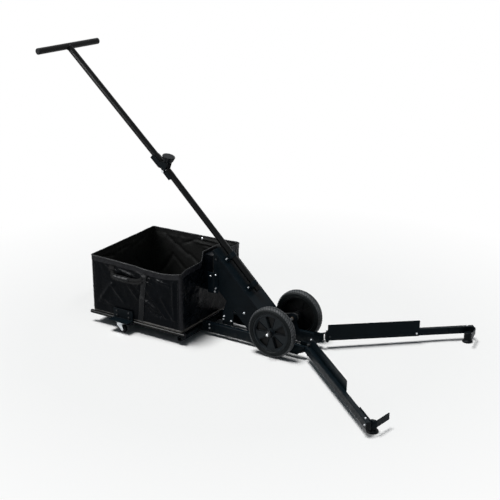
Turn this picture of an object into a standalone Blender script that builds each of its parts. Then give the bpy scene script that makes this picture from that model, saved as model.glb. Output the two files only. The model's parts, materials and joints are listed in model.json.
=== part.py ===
"""Tennis ball cart: a push-along collector that lifts balls into a fabric basket.

Two angled arms gather balls into a channel one ball wide. The live wheel axle
turns a belt under a sloping cover, and the belt rolls each ball up a ramp and
over a lip into the basket. The handle folds back at a pin half-way up.

Lengths are in metres, +X is the way the cart is pushed, +Y its left side and
+Z up. Positions below are measured from the wheel axle on the centre plane.
The finished cart stands on z = 0 with the middle of its length at x = 0.
"""

import math

import bmesh
import bpy
from mathutils import Matrix, Vector

# Driving dimensions: wheels
WHEEL_RADIUS = 0.0885
WHEEL_WIDTH = 0.030
WHEEL_CENTRE_Y = 0.092
RIM_RADIUS = 0.0665
RIM_INNER_RADIUS = 0.0600
HUB_RADIUS = 0.0135
AXLE_RADIUS = 0.005
SPOKE_COUNT = 5
SPOKE_PHASE = math.radians(-16)
SPOKE_HALF_ANGLE = math.radians(19)

# Driving dimensions: ball channel and sloping housing
CHANNEL_HALF_WIDTH = 0.0425
SHEET = 0.002
SLOPE = math.radians(44.4)
COVER_TOP_X = -0.263
COVER_TOP_Z = 0.311
COVER_END_X = -0.032
DUCT_DEPTH = 0.0863
PLATE_DEPTH = 0.090
PLATE_REAR_X = -0.266
FRONT_WALL_X = 0.111
FRONT_WALL_TOP = 0.0462
GROUND_CLEARANCE = 0.012
FRONT_CORNER_Z = 0.026
FRONT_SLANT_X = 0.082
LIP_HEIGHT = 0.006
OUTLET_LIP_X = -0.325

# Driving dimensions: belt lift
ROLLER_RADIUS = 0.008
ROLLER_SHAFT_RADIUS = 0.004
BELT_THICKNESS = 0.0015
BELT_HALF_WIDTH = 0.036
ROLLER_DEPTH = 0.013
DRIVE_ROLLER_X = -0.035
IDLER_ROLLER_X = -0.245
PULLEY_RADIUS = 0.012
PULLEY_Y = 0.058

# Driving dimensions: base frame and basket
BEAM_Y = 0.0555
BEAM_WIDTH = 0.015
BEAM_BOTTOM = 0.013
BEAM_HEIGHT = 0.035
RAIL_Y = 0.180
RAIL_RADIUS = 0.007
RAIL_Z = 0.0373
RAIL_REAR_X = -0.712
RAIL_FRONT_X = -0.296
CROSS_BAR_SIZE = 0.016
BASKET_REAR_X = -0.700
BASKET_FRONT_X = -0.3070
BASKET_HALF_WIDTH = 0.1835
BASKET_BOTTOM = 0.0447
BASKET_TOP = 0.260
BASKET_DRAW = 0.0085
BASKET_PEAK = 0.304
BASKET_WALL = 0.003
MOUTH_HALF_WIDTH = 0.0455
MOUTH_BOTTOM = 0.164
MOUTH_TOP = 0.294

# Driving dimensions: handle
TUBE_RADIUS = 0.0112
TUBE_WALL = 0.0014
TUBE_HEIGHT_ABOVE_COVER = 0.0182
JOINT_ALONG = -0.356
LOWER_TUBE_END = 0.195
UPPER_SLOPE = math.radians(42.75)
BAR_X = -0.917
BAR_Z = 0.9537
BAR_HALF_LENGTH = 0.1555
BAR_RADIUS = 0.0115
PIN_ALONG = 0.019
PIN_DEPTH = 0.0078
PIN_RADIUS = 0.0030
KNOB_LEAN = math.radians(16)
KNOB_BASE = 0.0355
KNOB_HEIGHT = 0.0205
KNOB_FLUTES = 12
LUG_TOP = 0.0340

# Driving dimensions: collecting arms
ARM_PIVOT_X = 0.1255
ARM_PIVOT_Y = 0.0664
PIVOT_BOLT_RADIUS = 0.0028
ARM_ANGLE = math.radians(41.4)
ARM_FALL = math.atan(0.014)
ARM_BOTTOM = 0.0309
ARM_HEIGHT = 0.025
ARM_INNER = -0.0075
ARM_OUTER = 0.0085
ARM_ROOT = -0.007
ARM_END = 0.521
PANEL_START = -0.0015
PANEL_END = 0.324
PANEL_HEIGHT = 0.0587
PANEL_THICKNESS = 0.002
HOOK_START = 0.432
HOOK_LENGTH = 0.073
HOOK_TURN = math.radians(122.5)
HOOK_LOW = 0.004
HOOK_HEIGHT = 0.0225
FOOT_ALONG = 0.4953
FOOT_INWARD = 0.0239
FOOT_RADIUS = 0.0185
FOOT_NECK_RADIUS = 0.0133
FOOT_HEIGHT = 0.0355

# Driving dimensions: casters
CASTER_X = -0.5585
CASTER_Y = 0.2045
CASTER_TRAIL = 0.012
CASTER_WHEEL_RADIUS = 0.0145
CASTER_WHEEL_WIDTH = 0.0125
CASTER_PLATE_TOP = 0.079

GAP = 0.0003
SIDES = (("left", 1), ("right", -1))

# The bar at the back and the hooks at the front set the cart's length.
REAR_LIMIT = BAR_X - BAR_RADIUS
FRONT_LIMIT = 0.5440
AXLE_X = -(REAR_LIMIT + FRONT_LIMIT) / 2

FINISHES = {
    "powder_coat": ("0B0C0E", 0.42, 0.0),
    "black_tube": ("101114", 0.30, 0.0),
    "tread_rubber": ("1B1C1E", 0.62, 0.0),
    "wheel_plastic": ("17181A", 0.48, 0.0),
    "knob_plastic": ("141618", 0.50, 0.0),
    "zinc_steel": ("B9BCBE", 0.32, 1.0),
    "pressed_zinc": ("C4C7CA", 0.38, 1.0),
    "coated_nylon": ("0C0D10", 0.35, 0.0),
    "webbing": ("0E0E10", 0.80, 0.0),
    "belt_rubber": ("202224", 0.70, 0.0),
    "bronze_bush": ("8C6A3A", 0.45, 1.0),
}


def linear_colour(hex_text):
    """Turn an sRGB hex colour into the linear RGBA that a shader takes."""
    values = [int(hex_text[i:i + 2], 16) / 255 for i in (0, 2, 4)]
    linear = [v / 12.92 if v <= 0.04045 else ((v + 0.055) / 1.055) ** 2.4 for v in values]
    return (*linear, 1.0)


def clear_scene():
    """Remove every object that the file opened with."""
    for obj in list(bpy.data.objects):
        bpy.data.objects.remove(obj, do_unlink=True)


def make_collection(name):
    """Add an empty collection to the scene."""
    collection = bpy.data.collections.new(name)
    bpy.context.scene.collection.children.link(collection)
    return collection


clear_scene()
CART = make_collection("tennis_ball_cart")
CUTTERS = make_collection("cutters")
FRAMES = {}


def add_frame(name, location=(0.0, 0.0, 0.0), parent=None):
    """Add an empty on a joint's axis; location is measured from the axle."""
    empty = bpy.data.objects.new(name, None)
    empty.empty_display_size = 0.03
    CART.objects.link(empty)
    place = Vector(location)
    if parent is None:
        empty.location = Vector((AXLE_X, 0.0, 0.0))
        place = Vector((0.0, 0.0, 0.0))
    else:
        empty.parent = parent
        empty.location = place - FRAMES[parent.name]
    FRAMES[name] = place
    return empty


def paint(obj, finish):
    """Give the piece its own Principled material."""
    colour, roughness, metallic = FINISHES[finish]
    material = bpy.data.materials.new(f"{obj.name} {finish}")
    material.use_nodes = True
    shader = material.node_tree.nodes["Principled BSDF"]
    shader.inputs["Base Color"].default_value = linear_colour(colour)
    shader.inputs["Roughness"].default_value = roughness
    shader.inputs["Metallic"].default_value = metallic
    material.diffuse_color = linear_colour(colour)
    obj.data.materials.clear()
    obj.data.materials.append(material)


def fit(obj, frame, matrix, finish):
    """Put a piece under its frame's empty and paint it."""
    obj.parent = frame
    obj.matrix_parent_inverse = Matrix.Identity(4)
    obj.matrix_local = Matrix.Translation(-FRAMES[frame.name]) @ matrix
    paint(obj, finish)
    return obj


def basis(origin, x_axis, y_axis, z_axis):
    """Build a placement matrix from an origin and three unit axes."""
    rotation = Matrix((x_axis, y_axis, z_axis)).transposed().to_4x4()
    return Matrix.Translation(Vector(origin)) @ rotation


def upright(y=0.0, x=0.0, z=0.0):
    """Local X to +X, local Y to +Z, thickness along Y: for flat upright pieces."""
    return basis((x, y, z), (1, 0, 0), (0, 0, 1), (0, -1, 0))


def along_x(x=0.0, y=0.0, z=0.0):
    """Local X to +Y, local Y to +Z, thickness along X: for rolled sections."""
    return basis((x, y, z), (0, 1, 0), (0, 0, 1), (1, 0, 0))


def slope_axes(angle):
    """Return the unit vectors down a slope and square to it, in the centre plane."""
    down = Vector((math.cos(angle), 0.0, -math.sin(angle)))
    square = Vector((math.sin(angle), 0.0, math.cos(angle)))
    return down, square


DOWN, SQUARE = slope_axes(SLOPE)
UPPER_DOWN, UPPER_SQUARE = slope_axes(UPPER_SLOPE)
COVER_ORIGIN = Vector((COVER_TOP_X, 0.0, COVER_TOP_Z))
JOINT = COVER_ORIGIN + DOWN * JOINT_ALONG + SQUARE * TUBE_HEIGHT_ABOVE_COVER
PIN = JOINT + DOWN * PIN_ALONG - SQUARE * PIN_DEPTH
KNOB_UP = Vector((math.sin(KNOB_LEAN), 0.0, math.cos(KNOB_LEAN)))
KNOB_ACROSS = Vector((math.cos(KNOB_LEAN), 0.0, -math.sin(KNOB_LEAN)))


def slope_point(x, depth):
    """Point in the centre plane: at x on the cover's face, then depth below it."""
    fall = (x - COVER_TOP_X) * math.tan(SLOPE)
    return Vector((x, 0.0, COVER_TOP_Z - fall)) - SQUARE * depth


def circle_points(radius, count, centre=(0.0, 0.0), start=0.0, sweep=2 * math.pi, closed=True):
    """Points on a circle or an arc, for outlines."""
    steps = count if closed else count - 1
    return [
        (
            centre[0] + radius * math.cos(start + sweep * i / steps),
            centre[1] + radius * math.sin(start + sweep * i / steps),
        )
        for i in range(count)
    ]


def mesh_object(name, mesh, collection=None):
    """Wrap a mesh in an object of the cart's collection."""
    obj = bpy.data.objects.new(name, mesh)
    (collection or CART).objects.link(obj)
    return obj


def flat_curve(name, outlines, thickness, collection=None):
    """Flat piece: closed outlines, the inner ones being holes, with a thickness."""
    curve = bpy.data.curves.new(name, "CURVE")
    curve.dimensions = "2D"
    curve.fill_mode = "BOTH"
    curve.extrude = thickness / 2
    for outline in outlines:
        spline = curve.splines.new("POLY")
        spline.points.add(len(outline) - 1)
        for point, (u, v) in zip(spline.points, outline):
            point.co = (u, v, 0.0, 1.0)
        spline.use_cyclic_u = True
    return mesh_object(name, curve, collection)


def to_mesh(obj, matrix=None):
    """Replace a curve or modified object by its welded mesh, moved by matrix."""
    depsgraph = bpy.context.evaluated_depsgraph_get()
    mesh = bpy.data.meshes.new_from_object(obj.evaluated_get(depsgraph))
    shape = bmesh.new()
    shape.from_mesh(mesh)
    bmesh.ops.remove_doubles(shape, verts=shape.verts, dist=0.00001)
    if matrix is not None:
        bmesh.ops.transform(shape, matrix=matrix, verts=shape.verts)
    bmesh.ops.recalc_face_normals(shape, faces=shape.faces)
    shape.to_mesh(mesh)
    shape.free()
    name, collection = obj.name, obj.users_collection[0]
    bpy.data.objects.remove(obj, do_unlink=True)
    mesh.name = name
    return mesh_object(name, mesh, collection)


def box_mesh(name, size, matrix, collection=None):
    """A box of the given size whose centre is placed by matrix."""
    mesh = bpy.data.meshes.new(name)
    shape = bmesh.new()
    bmesh.ops.create_cube(shape, size=1.0)
    bmesh.ops.scale(shape, vec=size, verts=shape.verts)
    bmesh.ops.transform(shape, matrix=matrix, verts=shape.verts)
    shape.to_mesh(mesh)
    shape.free()
    return mesh_object(name, mesh, collection)


def cylinder_mesh(name, radius, length, matrix, sides=24, top_radius=None, collection=None):
    """A capped cylinder or cone along local Z whose middle is placed by matrix."""
    mesh = bpy.data.meshes.new(name)
    shape = bmesh.new()
    bmesh.ops.create_cone(
        shape,
        cap_ends=True,
        segments=sides,
        radius1=radius,
        radius2=radius if top_radius is None else top_radius,
        depth=length,
        matrix=matrix,
    )
    shape.to_mesh(mesh)
    shape.free()
    return mesh_object(name, mesh, collection)


def smooth(obj, angle=math.radians(32)):
    """Shade round faces smooth and keep the real edges sharp."""
    obj.data.shade_smooth()
    obj.data.set_sharp_from_angle(angle=angle)
    return obj


def combine(body, tools, operation):
    """Join or cut a body with helper meshes, then drop the helpers."""
    for tool in tools:
        tool.hide_render = True
        tool.display_type = "WIRE"
        modifier = body.modifiers.new(operation.lower(), "BOOLEAN")
        modifier.operation = operation
        modifier.object = tool
    bpy.context.view_layer.update()
    result = to_mesh(body)
    for tool in tools:
        bpy.data.objects.remove(tool, do_unlink=True)
    return result


def axis_matrix(origin, axis):
    """Placement whose local Z runs along an axis from origin."""
    axis = Vector(axis).normalized()
    side = Vector((0.0, 1.0, 0.0)) if abs(axis.y) < 0.9 else Vector((1.0, 0.0, 0.0))
    across = side.cross(axis).normalized()
    return basis(origin, across, axis.cross(across), axis)


def turned_mesh(name, profile, steps=32, matrix=None):
    """Spin (radius, height) points, listed down the outer side, about local Z."""
    mesh = bpy.data.meshes.new(name)
    shape = bmesh.new()
    verts = [shape.verts.new((radius, 0.0, height)) for radius, height in profile]
    hollow = min(radius for radius, _ in profile) > 0.0
    pairs = list(zip(verts, verts[1:]))
    if hollow:
        pairs.append((verts[-1], verts[0]))
    for start, end in pairs:
        shape.edges.new((start, end))
    shape.to_mesh(mesh)
    shape.free()
    obj = mesh_object(name, mesh)
    screw = obj.modifiers.new("turn", "SCREW")
    screw.axis = "Z"
    screw.steps = steps
    screw.render_steps = steps
    screw.use_merge_vertices = True
    screw.merge_threshold = 0.00001
    screw.use_smooth_shade = True
    bpy.context.view_layer.update()
    return smooth(to_mesh(obj, matrix))


def turned(name, profile, frame, origin, axis, finish, steps=32):
    """Turned piece of a frame, spun about an axis through origin."""
    return fit(turned_mesh(name, profile, steps), frame, axis_matrix(origin, axis), finish)


def ring_profile(outer, inner, low, high):
    """Closed profile of a plain tube, outer side first and top to bottom."""
    return [(outer, high), (outer, low), (inner, low), (inner, high)]


def tube_between(name, start, end, frame, finish, outer=TUBE_RADIUS, wall=TUBE_WALL, steps=24):
    """Hollow round tube from one point to another."""
    start, end = Vector(start), Vector(end)
    profile = ring_profile(outer, outer - wall, 0.0, (end - start).length)
    return turned(name, profile, frame, start, end - start, finish, steps)


def section(name, outlines, length, frame, matrix, finish, bevel=0.0):
    """Rolled or cut flat piece with its outlines and its length or thickness."""
    obj = to_mesh(flat_curve(name, outlines, length))
    if bevel:
        modifier = obj.modifiers.new("edges", "BEVEL")
        modifier.width = bevel
        modifier.segments = 2
        modifier.limit_method = "ANGLE"
    return fit(obj, frame, matrix, finish)


def rectangle(low_u, low_v, high_u, high_v):
    """Outline of a rectangle, anticlockwise."""
    return [(low_u, low_v), (high_u, low_v), (high_u, high_v), (low_u, high_v)]


def rounded_rectangle(low_u, low_v, high_u, high_v, radius, steps=4):
    """Outline of a rectangle with round corners."""
    corners = (
        (high_u - radius, high_v - radius, 0.0),
        (low_u + radius, high_v - radius, 0.5 * math.pi),
        (low_u + radius, low_v + radius, math.pi),
        (high_u - radius, low_v + radius, 1.5 * math.pi),
    )
    points = []
    for u, v, start in corners:
        points += circle_points(radius, steps, (u, v), start, 0.5 * math.pi, closed=False)
    return points


# Side plates, cover and ramp


def side_plate_outline():
    """Side wall of the housing: sloping band, axle lobe, low front wall and foot."""
    edge_drop = 0.0018 / math.cos(SLOPE)
    rise = math.tan(SLOPE)

    def top_edge(x):
        return COVER_TOP_Z - (x - COVER_TOP_X) * rise - edge_drop

    def low_edge(x):
        return COVER_TOP_Z - (x - COVER_TOP_X) * rise - PLATE_DEPTH / math.cos(SLOPE)

    lobe_radius = 0.020
    lobe = circle_points(
        lobe_radius, 12, (0.0, WHEEL_RADIUS), math.radians(160), math.radians(-185), closed=False
    )
    outline = [(PLATE_REAR_X, top_edge(PLATE_REAR_X)), (-0.031, top_edge(-0.031))]
    outline += lobe
    outline += [
        (0.026, FRONT_WALL_TOP + 0.008),
        (0.036, FRONT_WALL_TOP),
        (FRONT_WALL_X, FRONT_WALL_TOP),
        (FRONT_WALL_X, FRONT_CORNER_Z),
        (FRONT_SLANT_X, GROUND_CLEARANCE),
        (-0.112, GROUND_CLEARANCE),
        (-0.128, 0.0485),
        (-0.128, low_edge(-0.128)),
        (-0.184, low_edge(-0.184)),
        (-0.187, 0.0485),
        (-0.232, 0.0485),
        (-0.232, 0.082),
        (-0.214, low_edge(-0.214)),
        (PLATE_REAR_X, low_edge(PLATE_REAR_X)),
    ]
    return outline


def side_plates(frame):
    """Left and right walls with bores for the axle and both roller shafts."""
    drive = slope_point(DRIVE_ROLLER_X, ROLLER_DEPTH)
    idler = slope_point(IDLER_ROLLER_X, ROLLER_DEPTH)
    bores = [
        circle_points(0.0073, 20, (0.0, WHEEL_RADIUS)),
        circle_points(ROLLER_SHAFT_RADIUS + 0.0004, 16, (drive.x, drive.z)),
        circle_points(ROLLER_SHAFT_RADIUS + 0.0004, 16, (idler.x, idler.z)),
    ]
    for side, sign in SIDES:
        matrix = upright(sign * (CHANNEL_HALF_WIDTH + SHEET / 2))
        outlines = [side_plate_outline(), *bores]
        section(f"side_plate_{side}", outlines, SHEET, frame, matrix, "powder_coat")


def top_cover(frame):
    """Folded sheet over the belt, with a short lip down each side."""
    outer = CHANNEL_HALF_WIDTH + SHEET + 0.0020
    inner = outer - 0.0015
    outline = [
        (-outer, -0.008),
        (-inner, -0.008),
        (-inner, -0.0015),
        (inner, -0.0015),
        (inner, -0.008),
        (outer, -0.008),
        (outer, 0.0),
        (-outer, 0.0),
    ]
    start = slope_point(PLATE_REAR_X - 0.001, 0.0)
    end = slope_point(COVER_END_X, 0.0)
    matrix = basis((start + end) / 2, (0, 1, 0), SQUARE, DOWN)
    section("top_cover", [outline], (end - start).length, frame, matrix, "powder_coat")


def ramp_centre_line():
    """Middle line of the ramp sheet, from the ground lip to the outlet lip."""
    tangent = math.tan(SLOPE)
    foot_x = COVER_TOP_X + (COVER_TOP_Z - DUCT_DEPTH / math.cos(SLOPE) - LIP_HEIGHT) / tangent
    foot_radius = 0.060
    crest_radius = 0.030
    lip_fall = math.radians(12)
    foot_tangent = foot_radius * math.tan(SLOPE / 2)
    foot_start = (foot_x + foot_tangent, LIP_HEIGHT)
    points = [(-0.030, LIP_HEIGHT)]
    points += circle_points(
        foot_radius,
        7,
        (foot_start[0], LIP_HEIGHT + foot_radius),
        -0.5 * math.pi,
        -SLOPE,
        closed=False,
    )
    crest_x = -0.262
    crest_z = LIP_HEIGHT + (foot_x - crest_x) * tangent
    crest_tangent = crest_radius * math.tan((SLOPE + lip_fall) / 2)
    crest_start = (crest_x + crest_tangent * math.cos(SLOPE), crest_z - crest_tangent * math.sin(SLOPE))
    centre = (
        crest_start[0] - crest_radius * math.sin(SLOPE),
        crest_start[1] - crest_radius * math.cos(SLOPE),
    )
    points += circle_points(
        crest_radius, 7, centre, 0.5 * math.pi - SLOPE, SLOPE + lip_fall, closed=False
    )
    end_z = crest_z - (crest_x - OUTLET_LIP_X) * math.tan(lip_fall)
    points.append((OUTLET_LIP_X, end_z))
    return points


def offset_line(points, distance):
    """Shift an open line sideways by a distance, mitred at its points."""
    shifted = []
    for i, point in enumerate(points):
        before = Vector(points[max(i - 1, 0)])
        after = Vector(points[min(i + 1, len(points) - 1)])
        here = Vector(point)
        first = (here - before).normalized() if i else (after - here).normalized()
        second = (after - here).normalized() if i < len(points) - 1 else first
        normal = Vector((-(first.y + second.y), first.x + second.x)).normalized()
        reach = distance / max(normal.dot(Vector((-first.y, first.x))), 0.5)
        shifted.append(tuple(here + normal * reach))
    return shifted


def ramp(frame):
    """Curved sheet that the belt rolls the balls up, with a lip into the basket."""
    line = ramp_centre_line()
    half = 0.00075
    outline = offset_line(line, half) + list(reversed(offset_line(line, -half)))
    width = 2 * (CHANNEL_HALF_WIDTH - GAP)
    section("ramp_floor", [outline], width, frame, upright(), "powder_coat")


# Base frame


def base_frame(frame):
    """Two beams from the housing to the basket, two cross bars and two rails."""
    beam_rear = -0.3065
    beam_front = 0.108
    beam = [
        rounded_rectangle(-BEAM_WIDTH / 2, 0.0, BEAM_WIDTH / 2, BEAM_HEIGHT, 0.002, 3),
        rectangle(-BEAM_WIDTH / 2 + 0.0015, 0.0015, BEAM_WIDTH / 2 - 0.0015, BEAM_HEIGHT - 0.0015),
    ]
    half = CROSS_BAR_SIZE / 2
    bar = [
        rounded_rectangle(-half, -half, half, half, 0.002, 3),
        rectangle(-half + 0.0015, -half + 0.0015, half - 0.0015, half - 0.0015),
    ]
    slant = math.radians(38)
    tip = Vector((beam_front, 0.0, BEAM_BOTTOM + BEAM_HEIGHT))
    turn = Matrix.Rotation(slant, 4, "Y")
    for side, sign in SIDES:
        matrix = along_x((beam_rear + beam_front) / 2, sign * BEAM_Y, BEAM_BOTTOM)
        tube = to_mesh(flat_curve("tube", beam, beam_front - beam_rear), matrix)
        side_shift = Vector((0.0, sign * BEAM_Y, 0.0))
        place = Matrix.Translation(tip + side_shift) @ turn @ Matrix.Translation((0.03, 0.0, 0.0))
        cutter = box_mesh("slant", (0.06, 0.03, 0.12), place, CUTTERS)
        tube = combine(tube, [cutter], "DIFFERENCE")
        tube.name = f"base_beam_{side}"
        fit(smooth(tube), frame, Matrix.Identity(4), "powder_coat")
        start = (RAIL_REAR_X, sign * RAIL_Y, RAIL_Z)
        end = (RAIL_FRONT_X, sign * RAIL_Y, RAIL_Z)
        tube_between(f"side_rail_{side}", start, end, frame, "black_tube", RAIL_RADIUS, 0.0012, 16)
    bar_z = RAIL_Z - RAIL_RADIUS - GAP - half
    front_x = beam_rear - GAP - half
    reach = RAIL_Y + RAIL_RADIUS
    clear = CASTER_Y - CASTER_TRAIL - CASTER_WHEEL_RADIUS - 0.0015
    for place, x, length in (("front", front_x, reach), ("rear", CASTER_X, clear)):
        matrix = basis((x, 0.0, bar_z), (1, 0, 0), (0, 0, 1), (0, -1, 0))
        section(f"cross_bar_{place}", bar, 2 * length, frame, matrix, "powder_coat")


def caster_plates(frame):
    """Upright plates outside the rails, each with a shelf for a caster."""
    inner = RAIL_Y + RAIL_RADIUS + GAP
    outer = inner + 0.0025
    shelf = 0.0422
    edge = CASTER_Y + 0.018
    for side, sign in SIDES:
        outline = [
            (sign * inner, 0.0308),
            (sign * outer, 0.0308),
            (sign * outer, shelf),
            (sign * edge, shelf),
            (sign * edge, shelf + 0.0022),
            (sign * outer, shelf + 0.0022),
            (sign * outer, CASTER_PLATE_TOP),
            (sign * inner, CASTER_PLATE_TOP),
        ]
        matrix = along_x(CASTER_X)
        section(f"caster_plate_{side}", [outline], 0.085, frame, matrix, "powder_coat")


def basket_hangers(frame):
    """Joggled straps on the housing that the basket's front wall hooks on."""
    low, high = 0.158, 0.234
    near = CHANNEL_HALF_WIDTH + SHEET + GAP + SHEET / 2
    far = MOUTH_HALF_WIDTH + BASKET_WALL + 2 * GAP + SHEET / 2
    for side, sign in SIDES:
        line = [(-0.287, sign * far), (-0.2665, sign * far), (-0.2625, sign * near), (-0.2470, sign * near)]
        outline = offset_line(line, SHEET / 2) + list(reversed(offset_line(line, -SHEET / 2)))
        matrix = Matrix.Translation((0.0, 0.0, (low + high) / 2))
        section(f"basket_hanger_{side}", [outline], high - low, frame, matrix, "powder_coat")


# Wheels and belt lift


def wheel_rim(side, sign, frame):
    """Moulded rim: barrel, boss and a closed web whose fan spokes stand proud of it."""
    inner = WHEEL_CENTRE_Y - 0.0130
    outer = WHEEL_CENTRE_Y + 0.0130
    web_inner = WHEEL_CENTRE_Y + 0.0005
    web_outer = WHEEL_CENTRE_Y + 0.0085
    hub_inner = WHEEL_CENTRE_Y - 0.0155
    hub_outer = WHEEL_CENTRE_Y + 0.0150
    bore = AXLE_RADIUS + GAP
    profile = [
        (RIM_RADIUS, outer),
        (RIM_RADIUS, inner),
        (RIM_INNER_RADIUS + 0.0015, inner),
        (RIM_INNER_RADIUS, web_inner),
        (HUB_RADIUS, web_inner),
        (HUB_RADIUS - 0.001, hub_inner),
        (bore, hub_inner),
        (bore, hub_outer),
        (HUB_RADIUS - 0.0015, hub_outer),
        (HUB_RADIUS, web_outer),
        (RIM_INNER_RADIUS, web_outer),
        (RIM_INNER_RADIUS + 0.0015, outer),
    ]
    if sign < 0:
        profile = [(radius, -height) for radius, height in reversed(profile)]
    centre = (0.0, 0.0, WHEEL_RADIUS)
    rim = turned_mesh(f"wheel_rim_{side}", profile, 48, axis_matrix(centre, (0, 1, 0)))
    cutters = []
    rows = (
        (0.5, math.pi / SPOKE_COUNT - SPOKE_HALF_ANGLE, 0.0085),
        (0.0, SPOKE_HALF_ANGLE - math.radians(3), -0.0020),
    )
    for offset, half, depth in rows:
        for i in range(SPOKE_COUNT):
            middle = SPOKE_PHASE + (i + offset) * 2 * math.pi / SPOKE_COUNT
            arc = circle_points(0.0572, 6, (0.0, 0.0), middle - half, 2 * half, closed=False)
            root = circle_points(0.0165, 2, (0.0, 0.0), middle + 0.5 * half, -half, closed=False)
            cutter = flat_curve(f"pocket_{side}_{depth}_{i}", [arc + root], 0.012, CUTTERS)
            matrix = upright(sign * (WHEEL_CENTRE_Y + depth), 0.0, WHEEL_RADIUS)
            cutters.append(to_mesh(cutter, matrix))
    rim = combine(rim, cutters, "DIFFERENCE")
    fit(smooth(rim), frame, Matrix.Identity(4), "wheel_plastic")


def tyre(side, sign, frame):
    """Solid tyre: rounded tread shoulders and a bead step on each side."""
    half = WHEEL_WIDTH / 2
    shoulder = 0.006
    crown = 0.0012
    bead = RIM_RADIUS + GAP
    section_points = [(bead, half - 0.003), (bead + 0.004, half)]
    section_points.append((WHEEL_RADIUS - shoulder - crown, half - 0.0006))
    for i in range(4):
        turn = math.radians(88 - 26 * i)
        section_points.append(
            (
                WHEEL_RADIUS - shoulder - crown + shoulder * math.cos(turn),
                half - 0.0010 - shoulder + shoulder * math.sin(turn),
            )
        )
    section_points.append((WHEEL_RADIUS, 0.0))
    lower = [(radius, -height) for radius, height in reversed(section_points[:-1])]
    profile = [(r, sign * WHEEL_CENTRE_Y + h) for r, h in section_points + lower]
    turned(f"tyre_{side}", profile, frame, (0, 0, WHEEL_RADIUS), (0, 1, 0), "tread_rubber", 48)


def wheelset(frame):
    """Live axle with both wheels, their nuts and the pulley that drives the belt."""
    end = WHEEL_CENTRE_Y + 0.0345
    centre = (0.0, 0.0, WHEEL_RADIUS)
    chamfer = 0.001
    axle = [
        (0.0, end),
        (AXLE_RADIUS - chamfer, end),
        (AXLE_RADIUS, end - chamfer),
        (AXLE_RADIUS, -end + chamfer),
        (AXLE_RADIUS - chamfer, -end),
        (0.0, -end),
    ]
    turned("axle", axle, frame, centre, (0, 1, 0), "zinc_steel", 20)
    pulley_bore = AXLE_RADIUS + GAP
    turned("axle_pulley", pulley_profile(pulley_bore), frame, centre, (0, 1, 0), "wheel_plastic", 24)
    for side, sign in SIDES:
        wheel_rim(side, sign, frame)
        tyre(side, sign, frame)
        outline = circle_points(0.0098, 6)
        bore = circle_points(AXLE_RADIUS + GAP, 16)
        y = sign * (WHEEL_CENTRE_Y + 0.0193)
        matrix = upright(y, 0.0, WHEEL_RADIUS)
        section(f"hub_nut_{side}", [outline, bore], 0.008, frame, matrix, "zinc_steel", 0.0006)


def pulley_profile(bore):
    """Grooved pulley at PULLEY_Y, with a bore, or solid where bore is 0."""
    half = 0.0045
    groove = 0.0022
    profile = [
        (PULLEY_RADIUS + 0.0030, PULLEY_Y + half),
        (PULLEY_RADIUS + 0.0030, PULLEY_Y + half - 0.001),
        (PULLEY_RADIUS, PULLEY_Y + groove),
        (PULLEY_RADIUS, PULLEY_Y - groove),
        (PULLEY_RADIUS + 0.0030, PULLEY_Y - half + 0.001),
        (PULLEY_RADIUS + 0.0030, PULLEY_Y - half),
    ]
    if bore:
        profile += [(bore, PULLEY_Y - half), (bore, PULLEY_Y + half)]
    return profile


def axle_bushes(frame):
    """Flanged bushes that carry the axle in the side plates."""
    bore = AXLE_RADIUS + 0.0001
    inside = CHANNEL_HALF_WIDTH
    outside = CHANNEL_HALF_WIDTH + SHEET
    for side, sign in SIDES:
        profile = [
            (0.0070, sign * (inside - 0.0010)),
            (0.0070, sign * (outside + GAP)),
            (0.0095, sign * (outside + GAP)),
            (0.0095, sign * (outside + 0.0022)),
            (bore, sign * (outside + 0.0022)),
            (bore, sign * (inside - 0.0010)),
        ]
        if sign > 0:
            profile.reverse()
        centre = (0.0, 0.0, WHEEL_RADIUS)
        turned(f"axle_bush_{side}", profile, frame, centre, (0, 1, 0), "bronze_bush", 20)


def rollers(drive_frame, idler_frame):
    """Lower roller with its shaft and pulley, and the upper roller."""
    shaft = ROLLER_SHAFT_RADIUS
    half = BELT_HALF_WIDTH + 0.002
    inner_end = -(CHANNEL_HALF_WIDTH + SHEET + 0.004)
    pulley = pulley_profile(0.0)
    drive = [(0.0, PULLEY_Y + 0.006), (shaft, PULLEY_Y + 0.006), (shaft, PULLEY_Y + 0.0045)]
    drive += pulley
    drive += [
        (shaft, PULLEY_Y - 0.0045),
        (shaft, half),
        (ROLLER_RADIUS, half),
        (ROLLER_RADIUS, -half),
        (shaft, -half),
        (shaft, inner_end),
        (0.0, inner_end),
    ]
    drive_axis = FRAMES[drive_frame.name]
    turned("drive_roller", drive, drive_frame, drive_axis, (0, 1, 0), "zinc_steel", 20)
    end = CHANNEL_HALF_WIDTH + SHEET + 0.004
    idler = [
        (0.0, end),
        (shaft, end),
        (shaft, half),
        (ROLLER_RADIUS, half),
        (ROLLER_RADIUS, -half),
        (shaft, -half),
        (shaft, -end),
        (0.0, -end),
    ]
    idler_axis = FRAMES[idler_frame.name]
    turned("idler_roller", idler, idler_frame, idler_axis, (0, 1, 0), "zinc_steel", 20)


def belt_loop(start, end, inner, outer, steps=9):
    """Outline of a belt that runs round two equal pulleys, with its inner edge."""
    run = Vector((end.x - start.x, end.z - start.z)).normalized()
    heading = math.atan2(run.y, run.x)
    loops = []
    for radius in (outer, inner):
        far = circle_points(
            radius, steps, (end.x, end.z), heading - 0.5 * math.pi, math.pi, closed=False
        )
        near = circle_points(
            radius, steps, (start.x, start.z), heading + 0.5 * math.pi, math.pi, closed=False
        )
        loops.append(far + near)
    return loops


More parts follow.
